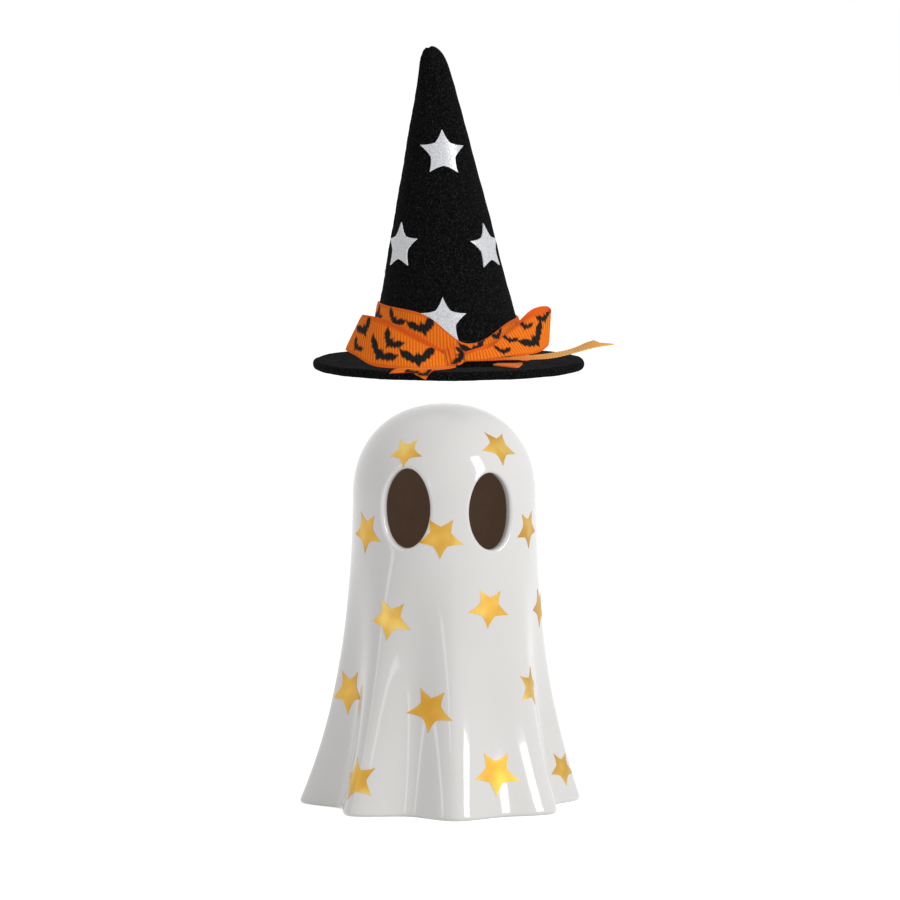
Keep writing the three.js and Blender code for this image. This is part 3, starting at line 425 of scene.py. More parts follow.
def open_eye(shell, eye_hole, rows, window, outer, inner):
    """Joins the outer and the inner wall round an eye's hole."""
    loop = window_loop(eye_hole, *window)
    edge = from_front([column * COLUMN_STEP for column, _ in loop])
    heights = np.array([rows[row] for _, row in loop])
    oval, oval_z = eye_ellipse(eye_hole, edge, heights, EYE_LIP)
    last = [outer[row][column] for column, row in loop]
    for share in np.arange(1, EYE_RINGS + 1) / EYE_RINGS:
        azimuth = edge + (oval - edge) * share
        z = heights + (oval_z - heights) * share
        last = shell.extend(last, polar(outer_radius(azimuth, z), azimuth, z))
    for share in np.arange(1, LIP_RINGS + 1) / LIP_RINGS:
        turn = share * math.pi / 2
        azimuth, z = eye_ellipse(eye_hole, edge, heights, EYE_LIP * (1 - math.sin(turn)))
        lip = polar(outer_radius(azimuth, z) - EYE_LIP * (1 - math.cos(turn)), azimuth, z)
        last = shell.extend(last, lip)
    # From the lip the hole runs straight in to the inner face
    inwards = polar(-1, eye_hole[0], 0)
    run = np.zeros(len(lip))
    for _ in range(RUN_STEPS):
        at = lip + run[:, None] * inwards
        run += np.hypot(at[:, 0], at[:, 1]) - inner_radius(azimuth_of(at), at[:, 2])
    last = shell.extend(last, lip + (run - BEFORE_INNER_WALL)[:, None] * inwards)
    at = lip + run[:, None] * inwards
    azimuth, z = azimuth_of(at), at[:, 2]
    for share in INNER_SHARES:
        between = azimuth + (edge - azimuth) * share
        height = z + (heights - z) * share
        last = shell.extend(last, polar(inner_radius(between, height), between, height), inside=True)
    shell.band(last, [inner[row][column] for column, row in loop], inside=True)


def ghost_body():
    """The ghost's shell, and for each of its faces whether it is one of the bare inside."""
    azimuths = full_turn(COLUMNS)
    skirt = [HEM_EDGE_RADIUS + (DOME_BASE - HEM_EDGE_RADIUS) * k / SKIRT_ROWS for k in range(SKIRT_ROWS)]
    dome = [
        DOME_BASE + DOME_HEIGHT * math.sin(k / DOME_ROWS * math.pi / 2) ** (2 / DOME_SQUARENESS)
        for k in range(DOME_ROWS)
    ]
    rows = skirt + dome
    low, high = (min(range(len(rows)), key=lambda k: abs(rows[k] - edge)) for edge in WINDOW_HEIGHTS)
    cut = set(column for eye_hole in EYES for column in window_columns(eye_hole))
    shell = Shell()

    def ring_at(radius, z):
        return polar(radius(azimuths, z), azimuths, z)

    def skip(k):
        return cut if low <= k < high else ()

    outer = [shell.add(ring_at(outer_radius, z)) for z in rows]
    for k in range(len(rows) - 1):
        shell.band(outer[k], outer[k + 1], skip=skip(k))
    shell.fan(outer[-1], (0, 0, GHOST_HEIGHT))

    floor_top = FLOOR_LIFT + FLOOR_THICKNESS
    first_inner = next(k for k, z in enumerate(rows) if z > floor_top + ABOVE_FLOOR)
    inner = {k: shell.add(ring_at(inner_radius, rows[k])) for k in range(first_inner, high + 1)}
    for k in range(first_inner, high):
        shell.band(inner[k], inner[k + 1], inside=True, skip=skip(k))
    ceiling = GHOST_HEIGHT - WALL
    last = inner[high]
    for share in CEILING_SHARES:
        z = rows[high] + (ceiling - rows[high]) * share
        last = shell.extend(last, ring_at(inner_radius, z), inside=True)
    shell.fan(last, (0, 0, ceiling), inside=True)

    last = outer[0]
    for k in range(1, HEM_ROWS + 1):
        turn = k / HEM_ROWS * math.pi / 2
        z = HEM_EDGE_RADIUS * (1 - math.sin(turn))
        radius = outer_radius(azimuths, z) - HEM_EDGE_RADIUS * (1 - math.cos(turn))
        last = shell.extend(last, polar(radius, azimuths, z if k < HEM_ROWS else 0))
    for radius, z in [
        (skirt_radius(azimuths, 0) - WALL, 0),
        (skirt_radius(azimuths, FLOOR_LIFT) - WALL, FLOOR_LIFT),
        (BASE_HOLE_RADIUS, FLOOR_LIFT),
        (BASE_HOLE_RADIUS, floor_top),
        (skirt_radius(azimuths, floor_top) - WALL, floor_top),
    ]:
        last = shell.extend(last, polar(radius, azimuths, z), inside=True)
    shell.band(last, inner[first_inner], inside=True)

    for eye_hole in EYES:
        open_eye(shell, eye_hole, rows, (low, high), outer, inner)
    return shell.build("ghost_body"), shell.inside


# Stars

# Shares of a star's radius at its tips and waists in turn, from its first tip on, once round
EVEN_STAR = [1, 0.53] * 5
# A gold star's first tip points down: its side tips are longer, and the notch between its upper tips deeper
GOLD_STAR = [1.02, 0.55, 1.11, 0.5, 0.95, 0.43, 0.95, 0.5, 1.11, 0.55]
STAR_HOLLOWNESS = 0.06
STAR_SIDE_STEPS = 8
STAR_RINGS = 8


def star_outline(shares, tip_turn, radius):
    """Points round a five-pointed star, as [along, up], with its first tip at tip_turn degrees from straight
    up."""
    turns = np.radians(tip_turn + 360 / len(shares) * np.arange(len(shares)))
    corners = np.stack([np.sin(turns), np.cos(turns)], axis=-1) * np.array(shares)[:, None] * radius
    outline = []
    for corner, after in zip(corners, np.roll(corners, -1, axis=0)):
        for run in np.arange(STAR_SIDE_STEPS) / STAR_SIDE_STEPS:
            hollow = 1 - STAR_HOLLOWNESS * math.sin(math.pi * run)
            outline.append((corner + (after - corner) * run) * hollow)
    return np.array(outline)


def add_star(shell, place, outline, top, bottom):
    """Adds a thin closed star. place(along, up, height) gives points of the object."""
    rims = []
    for height in (top, bottom):
        rings = [outline * (ring / STAR_RINGS) for ring in range(1, STAR_RINGS + 1)]
        added = shell.stack([place(ring[:, 0], ring[:, 1], height) for ring in rings])
        shell.fan(added[0], place(np.zeros(1), np.zeros(1), height)[0])
        rims.append(added[-1])
    shell.band(*rims)


def on_shell(azimuth, z):
    """place() for a star that follows the ghost's wall round a middle point, at true lengths."""
    steps_up, steps_along = 8, 16
    rise, swing = 0.1, 0.5

    def place(along, up, height):
        at_z = np.full(along.shape, float(z))
        for _ in range(steps_up):
            slope = (outer_radius(azimuth, at_z + rise) - outer_radius(azimuth, at_z - rise)) / (2 * rise)
            at_z = at_z + up / steps_up / np.sqrt(1 + slope ** 2)
        at_azimuth = np.full(along.shape, float(azimuth))
        for _ in range(steps_along):
            change = outer_radius(at_azimuth + swing, at_z) - outer_radius(at_azimuth - swing, at_z)
            reach = np.hypot(outer_radius(at_azimuth, at_z), change / math.radians(2 * swing))
            at_azimuth = at_azimuth + np.degrees(along / steps_along / reach)
        return shell_point(*out_of_eyes(at_azimuth, at_z), height)
    return place


# Gold stars that the photograph shows: the pixel at the middle of each, and the pixel at its lowest tip
GOLD_STARS = [
    ((406, 451), (403.2, 467.5)), ((499, 446), (502.8, 465.2)), ((366, 530.6), (365, 553)),
    ((440.5, 536.4), (439.9, 558.8)), ((528, 527.8), (528.6, 547.8)), ((390.3, 618.2), (386.5, 639.7)),
    ((489.3, 606.7), (487.8, 628.2)), ((349.5, 690), (347.8, 714.3)), ((430.4, 708.6), (427.6, 733)),
    ((531, 685.6), (535.2, 704.3)), ((356, 779), (347, 800)), ((495.9, 771.7), (496.5, 796.1)),
    ((562.5, 767.4), (566.2, 786)),
]
# Stars at the sides and back: rows of height, star size, and the azimuths of the stars in the row
MORE_GOLD_STARS = [
    (119, 6.6, (104, 140, 182, 214, 248)),
    (96, 6.8, (104, 150, 203, 250)),
    (70, 7.6, (82, 124, 172, 214, 256)),
    (44, 8.2, (112, 154, 196, 241)),
    (18, 8.8, (105, 140, 176, 212, 248)),
]
# How far those stray: in azimuth, in height, in turn, and as a share of their size
GOLD_STRAY = (2, 3, 22, 0.06)
GOLD_SEED = 11
GOLD_TOP = 0.12
GOLD_BOTTOM = -0.2


def gold_stars(eye):
    rng = random.Random(GOLD_SEED)
    shell = Shell()

    def outside(points):
        return np.hypot(points[:, 0], points[:, 1]) - outer_radius(azimuth_of(points), points[:, 2])

    def add(azimuth, z, turn, radius):
        add_star(shell, on_shell(azimuth, z), star_outline(GOLD_STAR, turn, radius), GOLD_TOP, GOLD_BOTTOM)

    for middle, tip in GOLD_STARS:
        here, there = (first_hit(eye, pixel, outside) for pixel in (middle, tip))
        azimuth = azimuth_of(here)
        out, tip_out = math.hypot(*here[:2]), math.hypot(*there[:2])
        along = math.radians(azimuth_of(there) - azimuth) * out
        rise = there[2] - here[2]
        up = math.copysign(math.hypot(rise, tip_out - out), rise)
        add(azimuth, here[2], math.degrees(math.atan2(along, up)), math.hypot(along, up))
    for z, size, azimuths in MORE_GOLD_STARS:
        for azimuth in azimuths:
            aside, up, turn, larger = (rng.uniform(-reach, reach) for reach in GOLD_STRAY)
            add(azimuth + aside, z + up, 180 + turn, size * (1 + larger))
    return shell.build("gold_stars", smooth=False, sharp_angle=None)


# The felt hat

def felt_wobble(points, amount=0.3):
    """The soft unevenness of pressed felt, in mm, at each point."""
    x, y, z = points[..., 0], points[..., 1], points[..., 2]
    slow = np.sin(x / 4.1 + z / 9.3) * np.cos(y / 5.3 - z / 7.1)
    mid = np.sin(x / 1.7 - y / 2.3 + z / 1.9) * np.cos(z / 2.6 + x / 2.2)
    fine = np.sin(x * 2.9 + z * 3.7) * np.cos(y * 3.3 - z * 2.3 + x)
    return amount * (0.5 * slow + 0.28 * mid + 0.22 * fine)


def crown_radius(z):
    straight = CROWN_BASE_RADIUS - CROWN_TAPER * (z - FELT)
    share = np.clip((z - BLUNT_START) / CROWN_BLUNT, 0, 1)
    return straight * np.sqrt(1 - share ** TIP_BLUNTNESS)


def crown_centre(z):
    return -CROWN_LEAN * (z - FELT) - TIP_LEAN * np.maximum(0, (z - BLUNT_START) / CROWN_BLUNT) ** 2


def crown_point(azimuth, z, height):
    """A point of the crown's outside, in the frame."""
    place = polar(crown_radius(z) + height, azimuth, z + HAT_Z)
    place[..., 0] = place[..., 0] + crown_centre(z) + HAT_X
    return place


def crown_surface(azimuth, z):
    return crown_point(azimuth, z, felt_wobble(crown_point(azimuth, z, 0)))


def tip_dip(x):
    """How far the gathered tip falls below its top: a notch, and a lower bump at its left."""
    notch = TIP_NOTCH * math.e ** (-((x - TIP_NOTCH_AT) / TIP_NOTCH_SPREAD) ** 2)
    return notch + TIP_SLOPE * np.maximum(0, -x)


CROWN_COLUMNS = 200
CROWN_ROWS = 96
BLUNT_ROWS = 22
HOLLOW_ROWS = 12
# How far the hollow's blunt end rises past its last row
HOLLOW_END = 2
TIP_DIP_POWER = 4


def felt_crown():
    azimuths = full_turn(CROWN_COLUMNS)
    rings = [
        crown_surface(azimuths, FELT + (BLUNT_START - FELT) * k / CROWN_ROWS) for k in range(CROWN_ROWS + 1)
    ]
    for k in range(1, BLUNT_ROWS):
        turn = k / BLUNT_ROWS * math.pi / 2
        z = BLUNT_START + CROWN_BLUNT * math.sin(turn) ** (2 / TIP_BLUNTNESS)
        ring = crown_surface(azimuths, z)
        ring[:, 2] -= (k / BLUNT_ROWS) ** TIP_DIP_POWER * tip_dip(ring[:, 0] - HAT_X - crown_centre(z))
        rings.append(ring)
    shell = Shell()
    outer = shell.stack(rings)
    shell.fan(outer[-1], (HAT_X + crown_centre(CROWN_HEIGHT), 0, HAT_Z + CROWN_HEIGHT - tip_dip(0)))
    last = outer[0]
    for k in range(HOLLOW_ROWS + 1):
        z = FELT + (CROWN_HOLLOW_TOP - FELT) * k / HOLLOW_ROWS
        last = shell.extend(last, crown_point(azimuths, z, -FELT))
    shell.fan(last, (HAT_X + crown_centre(CROWN_HOLLOW_TOP), 0, HAT_Z + CROWN_HOLLOW_TOP + HOLLOW_END))
    return shell.build("felt_crown")


# How much fuller the brim's edge is than its solid, above and below
BRIM_FULLNESS = 0.45
BRIM_COLUMNS = 240
BRIM_ROWS = 24
BRIM_EDGE_ROWS = 12
# The brim's unevenness: up and down, in and out at its edge, and how soon it grows beside the crown
BRIM_WAVE = 0.14
BRIM_EDGE_WAVE = 0.3
WAVE_START = 3
EDGE_WAVE_POWER = 8


def felt_brim():
    azimuths = full_turn(BRIM_COLUMNS)
    opening = CROWN_BASE_RADIUS - FELT
    half = FELT / 2
    under = [(opening + (BRIM_RADIUS - half - opening) * k / BRIM_ROWS, 0) for k in range(BRIM_ROWS + 1)]
    profile = list(under)
    for k in range(1, BRIM_EDGE_ROWS):
        turn = (k / BRIM_EDGE_ROWS - 0.5) * math.pi
        profile.append((BRIM_RADIUS - half + half * math.cos(turn), half + half * math.sin(turn)))
    profile += [(radius, FELT) for radius, _ in reversed(under)]
    rings = []
    for radius, z in profile:
        ring = polar(radius, azimuths, z + HAT_Z)
        # The wobble ends where the crown stands on the brim
        free = min(1, max(0, (radius - CROWN_BASE_RADIUS) / WAVE_START))
        outwards = max(0, (radius - opening) / (BRIM_RADIUS - opening)) ** 2
        ring[:, 2] += felt_wobble(ring, BRIM_WAVE) * free + BRIM_FULLNESS * outwards * (2 * z / FELT - 1)
        edge_share = (radius / BRIM_RADIUS) ** EDGE_WAVE_POWER
        ring += polar(felt_wobble(ring[:, [1, 2, 0]], BRIM_EDGE_WAVE) * edge_share, azimuths, 0)
        ring[:, 0] += HAT_X
        rings.append(ring)
    shell = Shell()
    added = shell.stack(rings)
    shell.band(added[-1], added[0])
    return shell.build("felt_brim")


# Silver stars that the photograph shows: the pixel at the middle of each, and the pixel at its top tip
SILVER_STARS = [
    ((443, 153), (443.5, 129.9)), ((400, 246), (398.7, 222.4)), ((488, 247), (487.8, 224.7)),
    ((443.5, 321), (443.5, 297.5)),
]
# The other stars of the hat: height above the brim's underside, and azimuth
MORE_SILVER_STARS = [(34, 122), (21, 180), (34, 238), (60, 152), (60, 212), (90, 182)]
SILVER_RADIUS = 8.8
SILVER_HALF = 0.5
SILVER_TURN = 12
SILVER_SEED = 5


def silver_stars(eye):
    rng = random.Random(SILVER_SEED)
    shell = Shell()

    def outside(points):
        z = points[:, 2] - HAT_Z
        gap = np.hypot(points[:, 0] - HAT_X - crown_centre(z), points[:, 1]) - crown_radius(z)
        return np.where((z > 0) & (z < CROWN_HEIGHT), gap, 1)

    def add(azimuth, z, turn):
        def place(along, up, height):
            at_z = z + up / math.hypot(1, CROWN_TAPER)
            return crown_point(azimuth + np.degrees(along / crown_radius(at_z)), at_z, height)

        add_star(shell, place, star_outline(EVEN_STAR, turn, SILVER_RADIUS), SILVER_HALF, -SILVER_HALF)

    for middle, tip in SILVER_STARS:
        x, y, z = first_hit(eye, middle, outside)
        z -= HAT_Z
        azimuth = math.degrees(math.atan2(x - HAT_X - crown_centre(z), -y))
        add(azimuth, z, math.degrees(math.atan2(tip[0] - middle[0], middle[1] - tip[1])))
    for z, azimuth in MORE_SILVER_STARS:
        add(azimuth, z, rng.uniform(-SILVER_TURN, SILVER_TURN))
    return shell.build("silver_stars", smooth=False, sharp_angle=None)


# The ribbon

BAT = [
    (0, 0.16), (0.05, 0.3), (0.12, 0.17), (0.22, 0.12), (0.36, 0.26), (0.55, 0.36), (0.78, 0.34), (1, 0.42),
    (0.95, 0.16), (0.85, -0.02), (0.72, 0.02), (0.62, -0.12), (0.46, -0.08), (0.34, -0.2), (0.2, -0.16),
    (0.1, -0.28), (0, -0.4),
]
BAT_HALVES = (4, 6.4)
BAT_REACH = 1.4
BAT_BOLDNESS = 1.25
SMALL_BAT = 5
SMALL_BAT_BOLDNESS = 1.8
PRINT_SOFTNESS = 0.16
# Scattered bats: their two rows as shares of the width, how far they stray from them, turn and bend at most,
# and the space between two bats
BAT_ROWS = (0.72, 0.28)
BAT_STRAY = 1
BAT_TURN = 50
BAT_BEND = 0.3
BAT_SPACING = (1.5, 3)
# Bats that the photograph shows: the pixels of their two wing tips, in the order that has their heads up
PHOTO_BATS = {
    "ribbon_loop_left": [
        ((394, 364), (369, 340)), ((399, 350), (382, 334)), ((437, 356), (400, 360)),
        ((361, 353), (353, 341)), ((372, 324), (356, 335)),
    ],
    "ribbon_band": [
        ((388, 313), (403, 327)), ((409, 331), (437, 329)), ((443, 340), (463, 352)),
        ((378, 311), (380, 320)), ((461, 352), (487, 340)), ((492, 340), (503, 331)),
    ],
    "ribbon_loop_right": [
        ((501, 336), (517, 342)), ((519, 325), (531, 328)), ((496, 350), (510, 352)),
        ((523, 350), (547, 325)), ((538, 323), (551, 313)),
    ],
    "ribbon_tail_left": [((404, 372), (415, 374)), ((421, 376), (430, 372))],
}
# The least and the most that half of such a bat measures, and what its wings bend by
PHOTO_BAT_HALVES = (2.8, 7.04)
PHOTO_BEND = 0.15
# What a mm of depth counts for, in pixels, in the search for the point that a pixel shows
DEPTH_COST = 0.3


def bat_outline():
    right = np.array(BAT)
    left = right[-2:0:-1] * [-1, 1]
    return np.concatenate([right, left])


def bat_cover(along, across, bats):
    """How much print covers each point of a ribbon: along and across are lengths on the flat ribbon."""
    outline = bat_outline()
    after = np.roll(outline, -1, axis=0)
    cover = np.zeros(along.shape)
    for middle, height, half, turn, bend in bats:
        x = along - middle
        y = across - height
        near = np.hypot(x, y) < half * BAT_REACH
        if not near.any():
            continue
        c, s = math.cos(math.radians(turn)), math.sin(math.radians(turn))
        u = (x[near] * c + y[near] * s) / half
        v = (y[near] * c - x[near] * s) / half
        v = (v - bend * u ** 2) / (BAT_BOLDNESS if half > SMALL_BAT else SMALL_BAT_BOLDNESS)
        inside = np.zeros(u.shape, bool)
        gap = np.full(u.shape, np.inf)
        for (x0, y0), (x1, y1) in zip(outline, after):
            crosses = (y0 > v) != (y1 > v)
            if y1 != y0:
                inside ^= crosses & (u < (x1 - x0) * (v - y0) / (y1 - y0) + x0)
            side = np.array([x1 - x0, y1 - y0])
            share = np.clip(((u - x0) * side[0] + (v - y0) * side[1]) / (side @ side), 0, 1)
            gap = np.minimum(gap, np.hypot(u - x0 - share * side[0], v - y0 - share * side[1]))
        signed = np.where(inside, gap, -gap) * half
        cover[near] = np.maximum(cover[near], np.clip(0.5 + signed / (2 * PRINT_SOFTNESS), 0, 1))
    return cover


def scattered_bats(start, end, seed):
    """Bats of two sizes in two staggered rows along a ribbon."""
    rng = random.Random(seed)
    bats = []
    along = start
    while along < end:
        half = rng.choice(BAT_HALVES)
        height = RIBBON_WIDTH * BAT_ROWS[len(bats) % 2] + rng.uniform(-BAT_STRAY, BAT_STRAY)
        bats.append((along, height, half, rng.uniform(-BAT_TURN, BAT_TURN), rng.uniform(0, BAT_BEND)))
        along += half + rng.uniform(*BAT_SPACING)
    return bats


def photo_bats(eye, name, front, at, wide):
    """A piece's bats that the photograph shows. front holds the ribbon's points, and at and wide their places
    along and across it."""
    seen, depth = to_pixels(eye, front + [HAT_X, 0, HAT_Z])
    nearest = depth.min()

    def find(pixel):
        cost = np.hypot(seen[..., 0] - pixel[0], seen[..., 1] - pixel[1]) + DEPTH_COST * (depth - nearest)
        k = np.unravel_index(np.argmin(cost), cost.shape)
        return at[k], wide[k]

    bats = []
    for start, end in PHOTO_BATS.get(name, []):
        x0, y0 = find(start)
        x1, y1 = find(end)
        half = np.clip(math.hypot(x1 - x0, y1 - y0) / 2, *PHOTO_BAT_HALVES)
        turn = math.degrees(math.atan2(y1 - y0, x1 - x0))
        bats.append(((x0 + x1) / 2, (y0 + y1) / 2, half, turn, PHOTO_BEND))
    return bats


def catmull_rom(points, share):
    """A centripetal Catmull-Rom curve through points, at shares of its number of spans."""
    points = np.asarray(points, float)
    padded = np.vstack([2 * points[0] - points[1], points, 2 * points[-1] - points[-2]])
    place = np.clip(share, 0, 1) * (len(points) - 1)
    k = np.minimum(place.astype(int), len(points) - 2)
    t = (place - k)[:, None]
    a, b, c, d = (padded[k + j] for j in range(4))

    def span(p, q):
        return np.maximum(np.linalg.norm(q - p, axis=1, keepdims=True), 1e-8) ** 0.5

    before, here, beyond = span(a, b), span(b, c), span(c, d)
    start = ((b - a) / before - (c - a) / (before + here) + (c - b) / here) * here
    end = ((c - b) / here - (d - b) / (here + beyond) + (d - c) / beyond) * here
    return b + start * t + (3 * (c - b) - 2 * start - end) * t ** 2 + (2 * (b - c) + start + end) * t ** 3


def bow_point(side, turn, out, rise):
    return polar(CROWN_BASE_RADIUS + out, KNOT_AZIMUTH + side * (KNOT_EDGE + turn), FELT + rise)


def on_brim(side, turn, out, rise):
    bend = FELT / 2 + BRIM_FULLNESS + FIT_GAP + RIBBON_THICKNESS / 2 + rise
    edge = BRIM_RADIUS - FELT / 2
    past = np.maximum(0, CROWN_BASE_RADIUS + out - edge)
    wrap = np.minimum(past / bend, math.pi / 2)
    radius = np.minimum(CROWN_BASE_RADIUS + out, edge) + bend * np.sin(wrap)
    z = FELT / 2 + bend * np.cos(wrap) - (past - bend * wrap)
    return polar(radius, KNOT_AZIMUTH + side * (KNOT_EDGE + turn), z)


def keep_weave(piece, uv, cover, bare_back_and_crease_shade):
    """Stores each point's place on the weave, how far print covers it, and how far the deeper orange of the
    bare back and of painted crease shade covers it.
    """
    loops = np.empty(len(piece.data.loops), int)
    piece.data.loops.foreach_get("vertex_index", loops)
    layer = piece.data.uv_layers.new(name="weave")
    layer.data.foreach_set("uv", uv.reshape(-1, 2)[loops].astype(np.float32).ravel())
    for name, values in (("print", cover), ("inner", bare_back_and_crease_shade)):
        made = piece.data.attributes.new(name, "FLOAT", "POINT")
        made.data.foreach_set("value", values.astype(np.float32).ravel())


RIBBON_SHARP_ANGLE = 60


def thin_body(name, front, back, at, cover, closed=False):
    """A closed ribbon between two grids of points, [along][across], with its weave and print. Each ring of
    points goes up the front and down the back."""
    def both(front_values, back_values):
        return np.concatenate([front_values, back_values[:, ::-1]], axis=1)

    shell = Shell()
    rings = shell.stack(both(front, back) + [HAT_X, 0, HAT_Z])
    if closed:
        shell.band(rings[-1], rings[0])
    else:
        for ring in (rings[0], rings[-1]):
            for k in range(ROWS_ACROSS):
                shell.face((ring[k], ring[k + 1], ring[-2 - k], ring[-1 - k]))
    made = shell.build(name, sharp_angle=RIBBON_SHARP_ANGLE)
    weave = np.stack(np.broadcast_arrays(at / RIB_PITCH, ACROSS), axis=-1)
    none = np.zeros(cover.shape)
    # The back faces take the deeper orange, as painted shade
    keep_weave(made, both(weave, weave), both(cover, none), both(none, none + 1))
    return made


# The share of the selvedge that stays flat
SELVEDGE_FLAT = 0.4


def rib_height(along, across):
    """Height of the ribs over the ribbon's ground: none on the flat selvedges. across runs from 0 to 1."""
    edge = np.clip(np.minimum(across, 1 - across) / SELVEDGE - SELVEDGE_FLAT, 0, 1)
    return RIB_HEIGHT * edge * (0.5 + 0.5 * np.cos(2 * math.pi * along / RIB_PITCH))


FINE_STEPS = 600
LEAST_FLAT_WIDTH = 0.0101
# The photograph gives the bats of a loop's front half
LOOP_SEEN = 0.5
CLEAR_START = 4
CLEAR_END = 2


def ribbon_piece(eye, name, edges, form, side, notch, rear_seed):
    """A strip of ribbon between its two edges, with ribs across it and bats printed on its front."""
    def point_at(share, across):
        pulled = share * (1 - notch * (1 - abs(2 * across - 1)))
        between = catmull_rom(edges[0], pulled) * (1 - across) + catmull_rom(edges[1], pulled) * across
        return form(side, *between.T)

    fine = np.linspace(0, 1, FINE_STEPS)
    line = point_at(fine, 0.5)
    lengths = np.concatenate([[0], np.cumsum(np.linalg.norm(np.diff(line, axis=0), axis=1))])
    length = lengths[-1]
    columns = int(length / RIB_PITCH * SAMPLES_PER_RIB) + 1
    along = np.linspace(0, length, columns)
    share = np.interp(along, lengths, fine)
    grid = np.stack([point_at(share, across) for across in ACROSS], axis=1)
    normal = np.cross(np.gradient(grid, ACROSS, axis=1), np.gradient(grid, along, axis=0))
    normal /= np.linalg.norm(normal, axis=-1, keepdims=True)
    # The printed side faces the front and up where the ribbon leaves the knot
    near_knot = normal[:columns // 3].mean(axis=(0, 1))
    normal *= np.sign(near_knot[2] - near_knot[1])
    wide = np.linalg.norm(grid[:, -1] - grid[:, 0], axis=1)[:, None] * ACROSS
    at = np.broadcast_to(along[:, None], wide.shape)
    raised = normal * (RIBBON_THICKNESS / 2 + rib_height(at, ACROSS) - RIB_HEIGHT / 2)[..., None]
    front, back = grid + raised, grid - raised
    bats = photo_bats(eye, name, front, at, wide)
    if rear_seed:
        bats += scattered_bats(length * LOOP_SEEN + CLEAR_START, length - CLEAR_END, rear_seed)
    made = thin_body(name, front, back, at, bat_cover(at, wide, bats))
    # The ribbon is gathered to its width at the knot, so its flat area is less than width times length
    widths = wide[:, -1] * MM
    flat_width = max(LEAST_FLAT_WIDTH, float(widths.max()))
    return made, (flat_width, length * MM), float(widths.mean()) * length * MM


def band_top(azimuth):
    degrees = from_front(azimuth) - BAND_DIP_AT
    spread = np.where(degrees < 0, BAND_DIP_LEFT, BAND_DIP_RIGHT)
    dip = BAND_DIP * np.exp(-((degrees / spread) ** 2))
    return BAND_TOP - BAND_TILT * np.sin(np.radians(azimuth)) - dip


# How far to each side the photograph shows the band, and how it is gathered beside the knot
BAND_SEEN = 75
BAND_GATHER = 5.5
BAND_GATHER_AT = 32
BAND_LEAST = 6
BAND_FULLNESS = 0.1
BAND_SEED = 21


def ribbon_band(eye):
    girth = 2 * math.pi * crown_radius(BAND_TOP / 2)
    columns = round(girth / RIB_PITCH) * SAMPLES_PER_RIB
    azimuths = full_turn(columns)[:, None]
    top = band_top(azimuths)
    # Beside the knot the band is gathered, and its lower edge lies higher
    gathered = BAND_GATHER * np.exp(-((from_front(azimuths) - BAND_GATHER_AT) / BAND_DIP_LEFT) ** 2)
    bottom = np.minimum(np.maximum(FELT + FIT_GAP, top - RIBBON_WIDTH) + gathered, top - BAND_LEAST)
    z = bottom + (top - bottom) * ACROSS
    at = np.broadcast_to((np.arange(columns) / SAMPLES_PER_RIB * RIB_PITCH)[:, None], z.shape)

    def side(height):
        place = polar(crown_radius(z) + height, azimuths, z)
        place[..., 0] += crown_centre(z)
        return place

    wide = z - bottom + np.maximum(0, RIBBON_WIDTH - (top - bottom))
    front = side(FIT_GAP + RIBBON_THICKNESS + BAND_FULLNESS + rib_height(at, ACROSS))
    bats = photo_bats(eye, "ribbon_band", front, at, wide)
    bats += scattered_bats(girth * BAND_SEEN / 360, girth * (1 - BAND_SEEN / 360), BAND_SEED)
    made = thin_body("ribbon_band", front, side(FIT_GAP), at, bat_cover(at, wide, bats), closed=True)
    width = float((top - bottom).mean()) * MM
    return made, (width, girth * MM), width * girth * MM


# Each crease of the knot: where it crosses the middle, its slant, its spread and its depth
KNOT_CREASES = [(-2, -0.25, 0.45, 0.9), (0.3, -0.3, 0.5, 1.0), (2.1, 0.3, 0.45, 0.9)]
KNOT_COLUMNS = 72
KNOT_ROWS = 41
KNOT_END = 0.04
# Powers below 1 make the knot squarer
KNOT_SHAPE = 0.7
KNOT_END_SHAPE = 0.6
KNOT_WEAVE_SLANT = 0.22
KNOT_RIB_HEIGHT = 0.09
# The bat on the knot: its middle, half its width, its turn and its bend
KNOT_BAT = (2.6, 0.4, 3.8, 78, 0.2)


